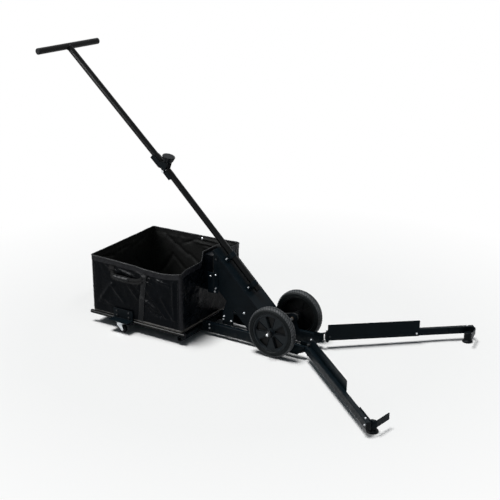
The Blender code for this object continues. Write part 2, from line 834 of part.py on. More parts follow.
def belts(frame):
    """Wide lifting belt under the cover and round drive belt beside the housing."""
    drive = slope_point(DRIVE_ROLLER_X, ROLLER_DEPTH)
    idler = slope_point(IDLER_ROLLER_X, ROLLER_DEPTH)
    inner = ROLLER_RADIUS + GAP
    loop = belt_loop(idler, drive, inner, ROLLER_RADIUS + BELT_THICKNESS)
    section("elevator_belt", loop, 2 * BELT_HALF_WIDTH, frame, upright(), "belt_rubber")
    axle = Vector((0.0, 0.0, WHEEL_RADIUS))
    inner = PULLEY_RADIUS + GAP
    loop = belt_loop(drive, axle, inner, PULLEY_RADIUS + 0.0030)
    section("drive_belt", loop, 0.0036, frame, upright(PULLEY_Y), "belt_rubber")


# Handle


def lower_handle(frame):
    """Tube on the cover with its end plug and two saddle clamps."""
    start = JOINT + DOWN * (PIN_ALONG + 0.0045)
    end = COVER_ORIGIN + DOWN * LOWER_TUBE_END + SQUARE * TUBE_HEIGHT_ABOVE_COVER
    tube_between("lower_handle_tube", start, end, frame, "black_tube")
    bore = TUBE_RADIUS - TUBE_WALL - GAP
    plug = [
        (0.0, 0.0035),
        (TUBE_RADIUS - 0.0015, 0.0035),
        (TUBE_RADIUS, 0.0020),
        (TUBE_RADIUS, GAP),
        (bore, GAP),
        (bore, -0.010),
        (0.0, -0.010),
    ]
    turned("tube_plug", plug, frame, end, DOWN, "knob_plastic", 24)
    foot = 0.029
    arch = 0.0137
    bore = TUBE_RADIUS + GAP
    centre = (0.0, TUBE_HEIGHT_ABOVE_COVER)
    outline = [(-foot, GAP), (foot, GAP), (foot, 0.0028), (arch, 0.0028)]
    outline += circle_points(arch, 13, centre, 0.0, math.pi, closed=False)
    outline += [(-arch, 0.0028), (-foot, 0.0028)]
    hole = circle_points(bore, 24, centre)
    for place, along in (("upper", 0.046), ("lower", 0.1705)):
        matrix = basis(COVER_ORIGIN + DOWN * along, (0, 1, 0), SQUARE, DOWN)
        outlines = [outline, hole]
        section(f"saddle_clamp_{place}", outlines, 0.018, frame, matrix, "powder_coat")


def bracket_side(name, outline, y, thickness, down, square):
    """One cheek of a fold bracket as a mesh in cart coordinates."""
    matrix = basis(JOINT + Vector((0, y, 0)), down, square, (0, -1, 0))
    return to_mesh(flat_curve(name, [outline], thickness), matrix)


def lower_fold_bracket(frame):
    """U bracket round the lower tube's top end, with the pin's bore."""
    along, depth = PIN_ALONG, -PIN_DEPTH
    nose = circle_points(0.0062, 8, (along, depth), math.radians(80), math.radians(190), closed=False)
    tail = 0.056
    outline = nose + [
        (along + 0.010, -0.0135),
        (tail, -0.0135),
        (tail, 0.001),
        (tail - 0.004, 0.004),
        (along + 0.010, 0.004),
    ]
    inner = TUBE_RADIUS + 0.0006
    cheek = 0.002
    pieces = [
        bracket_side(f"cheek_{i}", outline, sign * (inner + cheek / 2), cheek, DOWN, SQUARE)
        for i, sign in enumerate((1, -1))
    ]
    web_start, web_end = along + 0.012, tail - 0.0005
    centre = JOINT + DOWN * (web_start + web_end) / 2 - SQUARE * 0.0123
    matrix = basis(centre, (0, 1, 0), SQUARE, DOWN)
    web = box_mesh("web", (2 * inner + cheek, 0.0016, web_end - web_start), matrix)
    bracket = combine(pieces[0], [pieces[1], web], "UNION")
    bore = cylinder_mesh(
        "bore", PIN_RADIUS + GAP, 0.06, axis_matrix(PIN, (0, 1, 0)), 20, collection=CUTTERS
    )
    bracket = combine(bracket, [bore], "DIFFERENCE")
    bracket.name = "lower_fold_bracket"
    fit(bracket, frame, Matrix.Identity(4), "powder_coat")
    half = 0.0200
    pin = [
        (0.0, half),
        (0.0052, half),
        (0.0052, half - 0.0022),
        (PIN_RADIUS, half - 0.0022),
        (PIN_RADIUS, -half + 0.0022),
        (0.0052, -half + 0.0022),
        (0.0052, -half),
        (0.0, -half),
    ]
    turned("fold_pin", pin, frame, PIN, (0, 1, 0), "zinc_steel", 20)


def upper_fold_bracket(frame):
    """U bracket on the upper tube, whose slotted lug sits under the knob."""
    offset = PIN - JOINT
    along, depth = offset.dot(UPPER_DOWN), offset.dot(UPPER_SQUARE)
    knob_up = (KNOB_UP.dot(UPPER_DOWN), KNOB_UP.dot(UPPER_SQUARE))
    across = (KNOB_ACROSS.dot(UPPER_DOWN), KNOB_ACROSS.dot(UPPER_SQUARE))

    def lug_point(side, height):
        return (
            along + knob_up[0] * height + across[0] * side,
            depth + knob_up[1] * height + across[1] * side,
        )

    tail = -0.050
    nose = circle_points(0.0064, 9, (along, depth), math.radians(-165), math.radians(195), closed=False)
    outline = [(tail, -0.0136), (-0.004, -0.0136), (along - 0.0125, depth + 0.001)]
    outline += nose
    outline += [lug_point(0.008, 0.020), lug_point(0.008, LUG_TOP), lug_point(-0.0085, LUG_TOP)]
    outline += [(-0.014, 0.006), (tail + 0.004, 0.004), (tail, 0.001)]
    inner = TUBE_RADIUS + 0.0006 + 0.002 + 0.0004
    cheek = 0.002
    pieces = [
        bracket_side(f"cheek_{i}", outline, s * (inner + cheek / 2), cheek, UPPER_DOWN, UPPER_SQUARE)
        for i, s in enumerate((1, -1))
    ]
    web_start, web_end = tail + 0.0005, -0.004
    centre = JOINT + UPPER_DOWN * (web_start + web_end) / 2 - UPPER_SQUARE * 0.0124
    matrix = basis(centre, (0, 1, 0), UPPER_SQUARE, UPPER_DOWN)
    web = box_mesh("web", (2 * inner + cheek, 0.0016, web_end - web_start), matrix)
    lug_centre = PIN + KNOB_UP * (LUG_TOP - 0.0016) - KNOB_ACROSS * 0.00025
    matrix = basis(lug_centre, (0, 1, 0), KNOB_UP, KNOB_ACROSS)
    lug = box_mesh("lug", (2 * inner + cheek, 0.0024, 0.0155), matrix)
    bracket = combine(pieces[0], [pieces[1], web, lug], "UNION")
    slot_centre = PIN + KNOB_UP * LUG_TOP + KNOB_ACROSS * 0.0060
    matrix = basis(slot_centre, (0, 1, 0), KNOB_UP, KNOB_ACROSS)
    slot = box_mesh("slot", (0.0080, 0.012, 0.0200), matrix, CUTTERS)
    bore = cylinder_mesh(
        "bore", PIN_RADIUS + GAP, 0.06, axis_matrix(PIN, (0, 1, 0)), 20, collection=CUTTERS
    )
    bracket = combine(bracket, [slot, bore], "DIFFERENCE")
    bracket.name = "upper_fold_bracket"
    fit(bracket, frame, Matrix.Identity(4), "powder_coat")


def upper_handle(frame):
    """Upper tube coped onto the cross bar, with a cap in each end of the bar."""
    bar_centre = Vector((BAR_X, 0.0, BAR_Z))
    start = JOINT - UPPER_DOWN * 0.0005
    run = bar_centre - start
    profile = ring_profile(TUBE_RADIUS, TUBE_RADIUS - TUBE_WALL, 0.0, run.length - 0.004)
    tube = turned_mesh("upper_handle_tube", profile, 24, axis_matrix(start, run))
    cope = cylinder_mesh(
        "cope", BAR_RADIUS + GAP, 0.06, axis_matrix(bar_centre, (0, 1, 0)), 48, collection=CUTTERS
    )
    tube = combine(tube, [cope], "DIFFERENCE")
    fit(smooth(tube), frame, Matrix.Identity(4), "black_tube")
    left = (BAR_X, BAR_HALF_LENGTH, BAR_Z)
    right = (BAR_X, -BAR_HALF_LENGTH, BAR_Z)
    tube_between("cross_handle", right, left, frame, "black_tube", BAR_RADIUS, 0.0015, 24)
    bore = BAR_RADIUS - 0.0015 - GAP
    cap = [
        (0.0, 0.0040),
        (BAR_RADIUS - 0.0025, 0.0040),
        (BAR_RADIUS, 0.0022),
        (BAR_RADIUS, GAP),
        (bore, GAP),
        (bore, -0.012),
        (0.0, -0.012),
    ]
    turned("handle_cap_left", cap, frame, left, (0, 1, 0), "knob_plastic", 24)
    turned("handle_cap_right", cap, frame, right, (0, -1, 0), "knob_plastic", 24)
    upper_fold_bracket(frame)


def fluted_ring(shape, radius, height, depth, sides):
    """Ring of vertices whose radius dips in regular flutes."""
    ring = []
    for i in range(sides):
        turn = 2 * math.pi * i / sides
        dip = depth * (0.5 - 0.5 * math.cos(KNOB_FLUTES * turn))
        reach = radius - dip
        ring.append(shape.verts.new((reach * math.cos(turn), reach * math.sin(turn), height)))
    return ring


def fold_knob(frame):
    """Fluted cone knob on the threaded stud that clamps the handle open."""
    sides = KNOB_FLUTES * 4
    top = KNOB_BASE + KNOB_HEIGHT
    levels = (
        (0.0030, PIN_RADIUS + 2 * GAP, 0.0),
        (0.0030, KNOB_BASE, 0.0),
        (0.0165, KNOB_BASE, 0.0008),
        (0.0185, KNOB_BASE + 0.002, 0.0020),
        (0.0238, top - 0.0022, 0.0026),
        (0.0225, top, 0.0010),
    )
    mesh = bpy.data.meshes.new("fold_knob")
    shape = bmesh.new()
    rings = [fluted_ring(shape, radius, height, dip, sides) for radius, height, dip in levels]
    for lower, upper in zip(rings, rings[1:]):
        for i in range(sides):
            j = (i + 1) % sides
            shape.faces.new((lower[i], lower[j], upper[j], upper[i]))
    shape.faces.new(rings[0])
    shape.faces.new(rings[-1])
    bmesh.ops.recalc_face_normals(shape, faces=shape.faces)
    shape.to_mesh(mesh)
    shape.free()
    knob = smooth(mesh_object("fold_knob", mesh))
    matrix = basis(PIN, KNOB_ACROSS, (0, 1, 0), KNOB_UP)
    fit(knob, frame, matrix, "knob_plastic")


# Collecting arms


def arm_axes(sign):
    """Unit vectors along an arm, level and square to it, and up from it."""
    level = Vector((math.cos(ARM_ANGLE), sign * math.sin(ARM_ANGLE), 0.0))
    along = level * math.cos(ARM_FALL) - Vector((0.0, 0.0, math.sin(ARM_FALL)))
    outward = Vector((-math.sin(ARM_ANGLE), sign * math.cos(ARM_ANGLE), 0.0))
    up = level * math.sin(ARM_FALL) + Vector((0.0, 0.0, math.cos(ARM_FALL)))
    return along, outward, up


def arm_point(sign, u, v, w):
    """Point u along the arm from its pivot, v outward and w above its underside."""
    along, outward, up = arm_axes(sign)
    pivot = Vector((ARM_PIVOT_X, sign * ARM_PIVOT_Y, ARM_BOTTOM))
    return pivot + along * u + outward * v + up * w


def arm_section(sign, u):
    """Placement for sections: local X outward on the left arm, local Y up."""
    along, outward, up = arm_axes(sign)
    return basis(arm_point(sign, u, 0, 0), outward * sign, up, along)


def arm_plan(sign, w):
    """Placement for plans drawn as (along, outward) at height w."""
    along, outward, up = arm_axes(sign)
    return basis(arm_point(sign, 0, 0, w), along, outward, up * sign)


def hook_outline():
    """Plan of the tip hook: strap on the beam, round bend, hook turned inward."""
    strap = 0.0025
    v = ARM_INNER - GAP - strap / 2
    radius = 0.012
    bend_start = ARM_END - radius * math.tan(HOOK_TURN / 2) * 0.55
    line = [(HOOK_START, v), (bend_start, v)]
    line += circle_points(
        radius, 9, (bend_start, v - radius), 0.5 * math.pi, -HOOK_TURN, closed=False
    )[1:]
    end_turn = 0.5 * math.pi - HOOK_TURN
    heading = Vector((math.sin(end_turn), -math.cos(end_turn)))
    line.append(tuple(Vector(line[-1]) + heading * (HOOK_LENGTH - radius)))
    return offset_line(line, strap / 2) + list(reversed(offset_line(line, -strap / 2)))


def arm_beam(side, sign, frame):
    """Square tube with a solid root that the pivot bolt passes through."""
    wall = 0.0015
    low, high = ARM_INNER, ARM_OUTER
    edges = (sign * low, sign * high)
    outline = rounded_rectangle(min(edges), 0.0, max(edges), ARM_HEIGHT, 0.0022, 3)
    bore = rectangle(min(edges) + wall, wall, max(edges) - wall, ARM_HEIGHT - wall)
    length = ARM_END - ARM_ROOT
    matrix = arm_section(sign, (ARM_END + ARM_ROOT) / 2)
    tube = to_mesh(flat_curve("tube", [outline, bore], length), matrix)
    root = box_mesh(
        "root",
        (high - low - wall, ARM_HEIGHT - wall, 0.018),
        arm_section(sign, ARM_ROOT + 0.0095)
        @ Matrix.Translation((sign * (low + high) / 2, ARM_HEIGHT / 2, 0.0)),
    )
    tube = combine(tube, [root], "UNION")
    place = Matrix.Translation((ARM_PIVOT_X, sign * ARM_PIVOT_Y, ARM_BOTTOM))
    bolt_bore = cylinder_mesh("bore", PIVOT_BOLT_RADIUS + GAP, 0.08, place, 20, collection=CUTTERS)
    tube = combine(tube, [bolt_bore], "DIFFERENCE")
    tube.name = f"arm_beam_{side}"
    fit(smooth(tube), frame, Matrix.Identity(4), "powder_coat")


def arm_panel(side, sign, frame):
    """Upright sheet along the inner face that steers the balls to the channel."""
    v = ARM_INNER - GAP - PANEL_THICKNESS / 2
    along, outward, up = arm_axes(sign)
    matrix = basis(arm_point(sign, 0, v, 0), along, up, along.cross(up))
    outline = rounded_rectangle(PANEL_START, 0.0, PANEL_END, PANEL_HEIGHT, 0.0025, 3)
    section(f"arm_panel_{side}", [outline], PANEL_THICKNESS, frame, matrix, "powder_coat")


def arm_foot(side, sign, frame):
    """Moulded foot in the crook of the tip hook, with a wide disc on the ground."""
    middle = arm_point(sign, FOOT_ALONG, -FOOT_INWARD, 0.0)
    neck = FOOT_NECK_RADIUS
    profile = [
        (0.0, FOOT_HEIGHT),
        (neck - 0.0020, FOOT_HEIGHT),
        (neck, FOOT_HEIGHT - 0.0020),
        (neck, 0.0125),
        (neck - 0.0012, 0.0095),
        (FOOT_RADIUS - 0.0010, 0.0062),
        (FOOT_RADIUS, 0.0045),
        (FOOT_RADIUS, 0.0015),
        (FOOT_RADIUS - 0.0025, 0.0),
        (0.0, 0.0),
    ]
    turned(f"arm_foot_{side}", profile, frame, (middle.x, middle.y, 0.0), (0, 0, 1), "wheel_plastic", 28)


def arm(side, sign, frame):
    """One arm: beam, raised panel, bent tip hook and the foot it slides on."""
    arm_beam(side, sign, frame)
    arm_panel(side, sign, frame)
    plan = arm_plan(sign, HOOK_LOW + HOOK_HEIGHT / 2)
    section(f"tip_hook_{side}", [hook_outline()], HOOK_HEIGHT, frame, plan, "powder_coat")
    arm_foot(side, sign, frame)


def arm_bracket(side, sign, frame):
    """Bracket on the front wall with two lugs that hold the arm's root."""
    inner = CHANNEL_HALF_WIDTH + SHEET + GAP
    low = ARM_BOTTOM - 0.0040
    high = ARM_BOTTOM + ARM_HEIGHT + 0.0040
    start, end = 0.0860, ARM_PIVOT_X - 0.003
    centre = Matrix.Translation(((start + end) / 2, sign * (inner + 0.0013), (low + high) / 2))
    web = box_mesh(f"arm_bracket_{side}", (end - start, 0.0026, high - low), centre)
    lugs = []
    radius = 0.0072
    turn = math.acos(-0.003 / radius)
    for i, z in enumerate((low + 0.0015, high - 0.0015)):
        outline = [(-0.0168, -0.0208), (-0.003, -0.0208)]
        outline += circle_points(radius, 12, (0.0, 0.0), -turn, 1.62 * math.pi - turn, closed=False)
        outline = [(ARM_PIVOT_X + u, sign * (ARM_PIVOT_Y + v)) for u, v in outline]
        lugs.append(to_mesh(flat_curve(f"lug_{i}", [outline], 0.0024), Matrix.Translation((0, 0, z))))
    bracket = combine(web, lugs, "UNION")
    place = Matrix.Translation((ARM_PIVOT_X, sign * ARM_PIVOT_Y, (low + high) / 2))
    bore = cylinder_mesh("bore", PIVOT_BOLT_RADIUS + GAP, 0.06, place, 20, collection=CUTTERS)
    bracket = combine(bracket, [bore], "DIFFERENCE")
    bracket.name = f"arm_bracket_{side}"
    fit(bracket, frame, Matrix.Identity(4), "powder_coat")
    pin = PIVOT_BOLT_RADIUS
    bolt = [
        (0.0, high + 0.0058),
        (0.0022, high + 0.0055),
        (pin, high + 0.0048),
        (0.0048, high + 0.0042),
        (0.0048, high + GAP),
        (pin, high + GAP),
        (pin, low - GAP),
        (0.0050, low - GAP),
        (0.0050, low - 0.0040),
        (0.0, low - 0.0040),
    ]
    axis_point = (ARM_PIVOT_X, sign * ARM_PIVOT_Y, 0.0)
    turned(f"arm_pivot_bolt_{side}", bolt, frame, axis_point, (0, 0, 1), "zinc_steel", 16)


# Casters


def caster(side, sign, swivel_frame, wheel_frame):
    """Pressed caster fork with its swivel race, and its small wheel."""
    y = sign * CASTER_Y
    half = CASTER_WHEEL_WIDTH / 2
    leg_in = half + 0.0009
    thick = 0.0015
    crown = 0.0345
    axle = (CASTER_TRAIL, CASTER_WHEEL_RADIUS)
    outline = [(-0.0090, crown), (-0.0090, 0.0270)]
    outline += circle_points(0.0055, 7, axle, math.radians(195), math.radians(165), closed=False)
    outline += [(0.0105, 0.0300), (0.0105, crown)]
    legs = []
    for i, edge in enumerate((1, -1)):
        matrix = upright(y + edge * (leg_in + thick / 2), CASTER_X)
        legs.append(to_mesh(flat_curve(f"leg_{i}", [outline], thick), matrix))
    place = Matrix.Translation((CASTER_X + 0.00075, y, crown - 0.0011))
    bridge = box_mesh("bridge", (0.0190, 2 * leg_in + thick, 0.0015), place)
    race = cylinder_mesh("race", 0.0135, 0.0083, Matrix.Translation((CASTER_X, y, 0.03775)), 24)
    fork = combine(legs[0], [legs[1], bridge, race], "UNION")
    fork.name = f"caster_fork_{side}"
    fit(smooth(fork), swivel_frame, Matrix.Identity(4), "pressed_zinc")
    radius = CASTER_WHEEL_RADIUS
    profile = [
        (0.0, half + 0.0005),
        (0.0045, half + 0.0005),
        (0.0045, half - 0.0010),
        (radius - 0.0035, half - 0.0010),
        (radius - 0.0020, half),
        (radius - 0.0005, half - 0.0015),
        (radius, half - 0.0035),
        (radius, -half + 0.0035),
        (radius - 0.0005, -half + 0.0015),
        (radius - 0.0020, -half),
        (radius - 0.0035, -half + 0.0010),
        (0.0045, -half + 0.0010),
        (0.0045, -half - 0.0005),
        (0.0, -half - 0.0005),
    ]
    centre = (CASTER_X + CASTER_TRAIL, y, radius)
    turned(f"caster_wheel_{side}", profile, wheel_frame, centre, (0, 1, 0), "wheel_plastic", 24)


# Basket


def basket_front_outline():
    """Front wall: level at the corners and drawn up to the outlet in the middle."""
    half = BASKET_HALF_WIDTH
    shoulder = MOUTH_HALF_WIDTH + 0.004
    rise = BASKET_PEAK - BASKET_TOP - BASKET_DRAW
    points = [(-half, BASKET_BOTTOM), (half, BASKET_BOTTOM), (half, BASKET_TOP)]
    curve = []
    for part in (0.0, 0.3, 0.6, 0.85, 0.93, 0.97, 1.0):
        y = half + (shoulder - half) * part
        curve.append((y, BASKET_TOP + BASKET_DRAW * part + rise * part ** 30))
    points += curve[1:]
    points += [(-y, z) for y, z in reversed(curve)]
    return points


def basket(frame):
    """Open fabric basket: floor, three level walls and the front with its mouth."""
    half = BASKET_HALF_WIDTH
    middle = (BASKET_REAR_X + BASKET_FRONT_X) / 2
    length = BASKET_FRONT_X - BASKET_REAR_X
    wall = BASKET_WALL
    height = BASKET_TOP - BASKET_BOTTOM
    centre = Matrix.Translation((middle, 0.0, BASKET_BOTTOM + height / 2))
    outer = box_mesh("basket_shell", (length, 2 * half, height), centre)
    size = (length - 2 * wall, 2 * half - 2 * wall, height)
    lift = Matrix.Translation((middle, 0.0, BASKET_BOTTOM + wall + height / 2))
    hollow = box_mesh("basket_hollow", size, lift, CUTTERS)
    shell = combine(outer, [hollow], "DIFFERENCE")
    front = flat_curve("basket_front", [basket_front_outline()], wall)
    front = to_mesh(front, along_x(BASKET_FRONT_X - wall / 2))
    sleeve_front = PLATE_REAR_X - 0.003
    sleeve_half = MOUTH_HALF_WIDTH + wall
    sleeve_length = sleeve_front - BASKET_FRONT_X + wall
    sleeve = box_mesh(
        "sleeve",
        (sleeve_length, 2 * sleeve_half, MOUTH_TOP - MOUTH_BOTTOM + 2 * wall),
        Matrix.Translation((sleeve_front - sleeve_length / 2, 0, (MOUTH_TOP + MOUTH_BOTTOM) / 2)),
    )
    shell = combine(shell, [front, sleeve], "UNION")
    mouth = box_mesh(
        "mouth",
        (0.12, 2 * MOUTH_HALF_WIDTH, MOUTH_TOP - MOUTH_BOTTOM),
        Matrix.Translation((BASKET_FRONT_X, 0.0, (MOUTH_TOP + MOUTH_BOTTOM) / 2)),
        CUTTERS,
    )
    shell = combine(shell, [mouth], "DIFFERENCE")
    shell.name = "basket_shell"
    fit(shell, frame, Matrix.Identity(4), "coated_nylon")


def carry_handles(frame):
    """Webbing handles that hang against the basket's long sides."""
    start_x, end_x = -0.600, -0.440
    for side, sign in SIDES:
        curve = bpy.data.curves.new(f"carry_handle_{side}", "CURVE")
        curve.dimensions = "3D"
        curve.bevel_depth = 0.0045
        curve.bevel_resolution = 1
        curve.use_fill_caps = True
        spline = curve.splines.new("POLY")
        count = 17
        spline.points.add(count - 1)
        for i, point in enumerate(spline.points):
            part = i / (count - 1)
            bulge = math.sin(math.pi * part) ** 0.6
            x = start_x + (end_x - start_x) * part
            y = sign * (BASKET_HALF_WIDTH + 0.0050 + 0.009 * bulge)
            z = 0.222 - 0.028 * bulge
            point.co = (x, y, z, 1.0)
        obj = mesh_object(f"carry_handle_{side}", curve)
        bpy.context.view_layer.update()
        fit(smooth(to_mesh(obj)), frame, Matrix.Identity(4), "webbing")


def build():
    """Make the joints' frames, then every sub-part under its own frame."""
    cart = add_frame("cart")
    axle = add_frame("wheel_axle_frame", (0.0, 0.0, WHEEL_RADIUS), cart)
    drive_at = slope_point(DRIVE_ROLLER_X, ROLLER_DEPTH)
    idler_at = slope_point(IDLER_ROLLER_X, ROLLER_DEPTH)
    drive = add_frame("drive_roller_frame", drive_at, cart)
    idler = add_frame("idler_roller_frame", idler_at, cart)
    handle = add_frame("handle_fold_frame", PIN, cart)
    knob = add_frame("fold_knob_frame", PIN, cart)
    basket_frame = add_frame("basket_frame", (BASKET_FRONT_X, 0.0, BASKET_BOTTOM), cart)
    side_plates(cart)
    top_cover(cart)
    ramp(cart)
    base_frame(cart)
    caster_plates(cart)
    basket_hangers(cart)
    axle_bushes(cart)
    belts(cart)
    lower_handle(cart)
    lower_fold_bracket(cart)
    wheelset(axle)
    rollers(drive, idler)
    upper_handle(handle)
    fold_knob(knob)
    for side, sign in SIDES:
        arm_bracket(side, sign, cart)
        swing = add_frame(f"arm_{side}_frame", (ARM_PIVOT_X, sign * ARM_PIVOT_Y, ARM_BOTTOM), cart)
        arm(side, sign, swing)
        swivel = add_frame(f"caster_{side}_frame", (CASTER_X, sign * CASTER_Y, 0.0), cart)
        wheel_at = (CASTER_X + CASTER_TRAIL, sign * CASTER_Y, CASTER_WHEEL_RADIUS)
        rolling = add_frame(f"caster_wheel_{side}_frame", wheel_at, swivel)
        caster(side, sign, swivel, rolling)
    basket(basket_frame)
    carry_handles(basket_frame)


build()
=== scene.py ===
"""Tennis ball cart: finishes, fabric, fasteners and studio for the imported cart.

The file is laid out as an add-on and run as a script. Lengths are in metres.
+X is the way the cart is pushed, +Y its left side and +Z up.
"""

import json
import math

import bmesh
import bpy
from mathutils import Matrix, Vector, noise


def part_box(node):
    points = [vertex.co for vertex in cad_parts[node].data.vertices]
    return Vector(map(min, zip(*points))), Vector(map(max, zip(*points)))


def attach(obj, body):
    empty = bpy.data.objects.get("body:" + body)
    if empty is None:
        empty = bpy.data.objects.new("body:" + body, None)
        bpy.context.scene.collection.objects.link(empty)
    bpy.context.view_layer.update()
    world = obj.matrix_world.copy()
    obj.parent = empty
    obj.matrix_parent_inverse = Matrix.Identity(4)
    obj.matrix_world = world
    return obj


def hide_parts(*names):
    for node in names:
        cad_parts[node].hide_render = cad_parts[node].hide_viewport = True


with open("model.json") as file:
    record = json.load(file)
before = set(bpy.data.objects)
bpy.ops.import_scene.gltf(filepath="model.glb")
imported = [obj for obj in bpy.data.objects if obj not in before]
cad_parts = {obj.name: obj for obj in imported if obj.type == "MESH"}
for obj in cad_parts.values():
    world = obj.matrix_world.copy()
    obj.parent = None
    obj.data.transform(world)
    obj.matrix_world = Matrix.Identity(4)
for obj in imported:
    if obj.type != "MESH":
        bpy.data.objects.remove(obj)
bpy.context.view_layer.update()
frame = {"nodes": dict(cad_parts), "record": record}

bl_info = {
    "name": "Tennis ball cart",
    "version": (1, 0, 0),
    "blender": (4, 5, 0),
    "location": "3D View > Sidebar > Ball cart",
    "description": "Dresses a tennis ball cart with its fabric, fasteners and finishes",
    "category": "Object",
}

AXLE = sum(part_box("axle"), Vector()) / 2
BASKET_LOW, BASKET_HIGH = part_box("basket_shell")
SIDES = (("left", 1), ("right", -1))

# The basket's walls, measured from the axle along X
BASKET_REAR = BASKET_LOW.x + 0.0004
BASKET_FRONT = AXLE.x - 0.3072
BASKET_HALF = 0.1830
BASKET_BOTTOM = 0.0450
BASKET_RIM = 0.2590
BASKET_PEAK = 0.3030
MOUTH_HALF = 0.0455
MOUTH_LOW = 0.164
MOUTH_HIGH = 0.294
CORNER_RADIUS = 0.007

# The housing's slope, for what is bolted to it
SLOPE = math.radians(44.4)
DOWN = Vector((math.cos(SLOPE), 0.0, -math.sin(SLOPE)))
SQUARE = Vector((math.sin(SLOPE), 0.0, math.cos(SLOPE)))
COVER_ORIGIN = Vector((AXLE.x - 0.263, 0.0, 0.311))

# The arms, as they lie at rest
ARM_ANGLE = math.radians(41.4)
ARM_FALL = math.atan(0.014)
ARM_PIVOT = Vector((AXLE.x + 0.1255, 0.0664, 0.0309))

# Centres of the fold joint and of the belt's two rollers
FOLD_JOINT = Vector((AXLE.x - 0.50462, 0.0, 0.57308))
BELT_DRIVE = Vector((AXLE.x - 0.0441, 0.0, 0.07844))
BELT_IDLER = Vector((AXLE.x - 0.2541, 0.0, 0.28408))

# Distance from the middle of the cart to the outer faces of the wheels' fans
FAN_FACE = 0.0920 + 0.0085

# Below this height the cloth is held flat by the caster plates outside it
HELD_FLAT_BELOW = 0.085
HELD_FLAT_BULGE = 0.0008
CREASE_LIMIT = 0.0065

# The upright band leans forward by this much from its foot to the hem
BAND_FOOT_X = AXLE.x - 0.4834
BAND_LEAN = 0.0242
BAND_START, BAND_REACH = 0.035, 0.90

# Bolts of one side in x from the axle, z; those with three numbers carry their own y
PLATE_BOLTS = ((-0.2238, 0.0790), (-0.2265, 0.0668), (-0.1935, 0.0668), (-0.1398, 0.1085))
HANGER_BOLTS = (
    (-0.2740, 0.2205, 0.0511), (-0.2562, 0.2260, 0.0468), (-0.2568, 0.1759, 0.0468),
    (-0.2602, 0.1638, 0.0468),
)
BEAM_BOLTS = ((-0.2740, 0.0425), (-0.2730, 0.0290))
CLAMP_STUDS = (0.0452, 0.1698)
BRACKET_BOLTS = (0.0935, 0.1075)

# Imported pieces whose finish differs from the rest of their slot
SPECIAL_FINISH = {
    "hub_nut_left": "black_oxide", "hub_nut_right": "black_oxide", "idler_roller": "black_oxide",
    "arm_pivot_bolt_left": "black_oxide", "arm_pivot_bolt_right": "black_oxide",
    # The rims carry painted shade in their pockets and a painted lit tone on their fans.
    "wheel_rim_left": "rim_plastic_painted_shade", "wheel_rim_right": "rim_plastic_painted_shade",
}

MATERIALS = {}


def linear(hex_text):
    """Turn an sRGB hex colour into linear RGBA."""
    values = [int(hex_text[i:i + 2], 16) / 255 for i in (0, 2, 4)]
    linear_values = [v / 12.92 if v <= 0.04045 else ((v + 0.055) / 1.055) ** 2.4 for v in values]
    return (*linear_values, 1.0)


def colour_property(name, description, hex_text):
    """A colour that a user may change, given as sRGB hex."""
    return bpy.props.FloatVectorProperty(
        name=name, description=description, subtype="COLOR", size=4, min=0.0, max=1.0,
        default=linear(hex_text),
    )


def length_property(name, description, default):
    """A length in metres that a user may change."""
    return bpy.props.FloatProperty(
        name=name, description=description, default=default, min=0.0, unit="LENGTH",
        subtype="DISTANCE", precision=5,
    )


class BallCartFinishes(bpy.types.PropertyGroup):
    """Colours of the cart's finishes."""

    coat: colour_property("Powder coat", "Sheet metal and beams", "060F14")
    tube: colour_property("Tube coat", "Handle and rails", "0A0C0D")
    nylon: colour_property("Basket cloth", "Coated nylon of the basket", "05080C")
    lining: colour_property("Basket lining", "Uncoated back of the nylon", "151715")
    tape: colour_property("Hem tape", "Tape over the rim and the corners", "131418")
    webbing: colour_property("Webbing", "Handles and straps", "060708")
    rubber: colour_property("Tyre rubber", "Solid tyres", "0B1113")
    tread: colour_property("Worn tread", "Rubber that the ground has rubbed grey", "2A2E31")
    plastic: colour_property("Wheel plastic", "Rims, casters and caps", "080D11")
    zinc: colour_property("Zinc plate", "Bolts, nuts and pins", "C6C9CC")


class BallCartBasket(bpy.types.PropertyGroup):
    """Sizes of the basket's cloth work."""

    cloth: length_property("Cloth thickness", "Thickness of the coated cloth", 0.0012)
    hem: length_property("Hem depth", "Depth of the sewn hem round the rim", 0.020)
    piping: length_property("Piping radius", "Radius of the corded seams", 0.0023)
    band: length_property("Band width", "Width of the upright webbing band", 0.022)
    stitch: length_property("Stitch pitch", "Distance from stitch to stitch", 0.0045)


class BallCartTyres(bpy.types.PropertyGroup):
    """Tread of the two main tyres."""

    blocks: bpy.props.IntProperty(
        name="Tread blocks", description="Blocks round each row of the tread", default=54, min=8
    )
    depth: length_property("Tread depth", "Height of a block above its groove", 0.0020)


class BallCartFasteners(bpy.types.PropertyGroup):
    """Sizes of the plated bolts."""

    head: length_property("Head width", "Bolt head across its flats", 0.0056)
    height: length_property("Head height", "Height of the bolt head", 0.0028)
    stud: length_property("Stud length", "Length of the clamp studs past their nuts", 0.0050)


class BallCartStage(bpy.types.PropertyGroup):
    """Camera and lamps."""

    lens: bpy.props.FloatProperty(
        name="Lens", description="Focal length of the camera in millimetres", default=74.6246
    )
    key: bpy.props.FloatProperty(
        name="Key light", description="Strength of the broad lamp overhead", default=2.85, min=0.0
    )
    strip: bpy.props.FloatProperty(
        name="Strip light", description="Power of the lamp that only glints on edges and creases",
        default=190.0, min=0.0
    )
    room: bpy.props.FloatProperty(
        name="Room light", description="Level of the light from all round", default=0.06, min=0.0
    )
    floor: colour_property("Floor", "Pale studio floor", "FAFAF9")


# Objects and meshes


def new_object(name, mesh):
    """Put a mesh in the scene with its place in its own vertices."""
    obj = bpy.data.objects.new(name, mesh)
    bpy.context.scene.collection.objects.link(obj)
    return obj


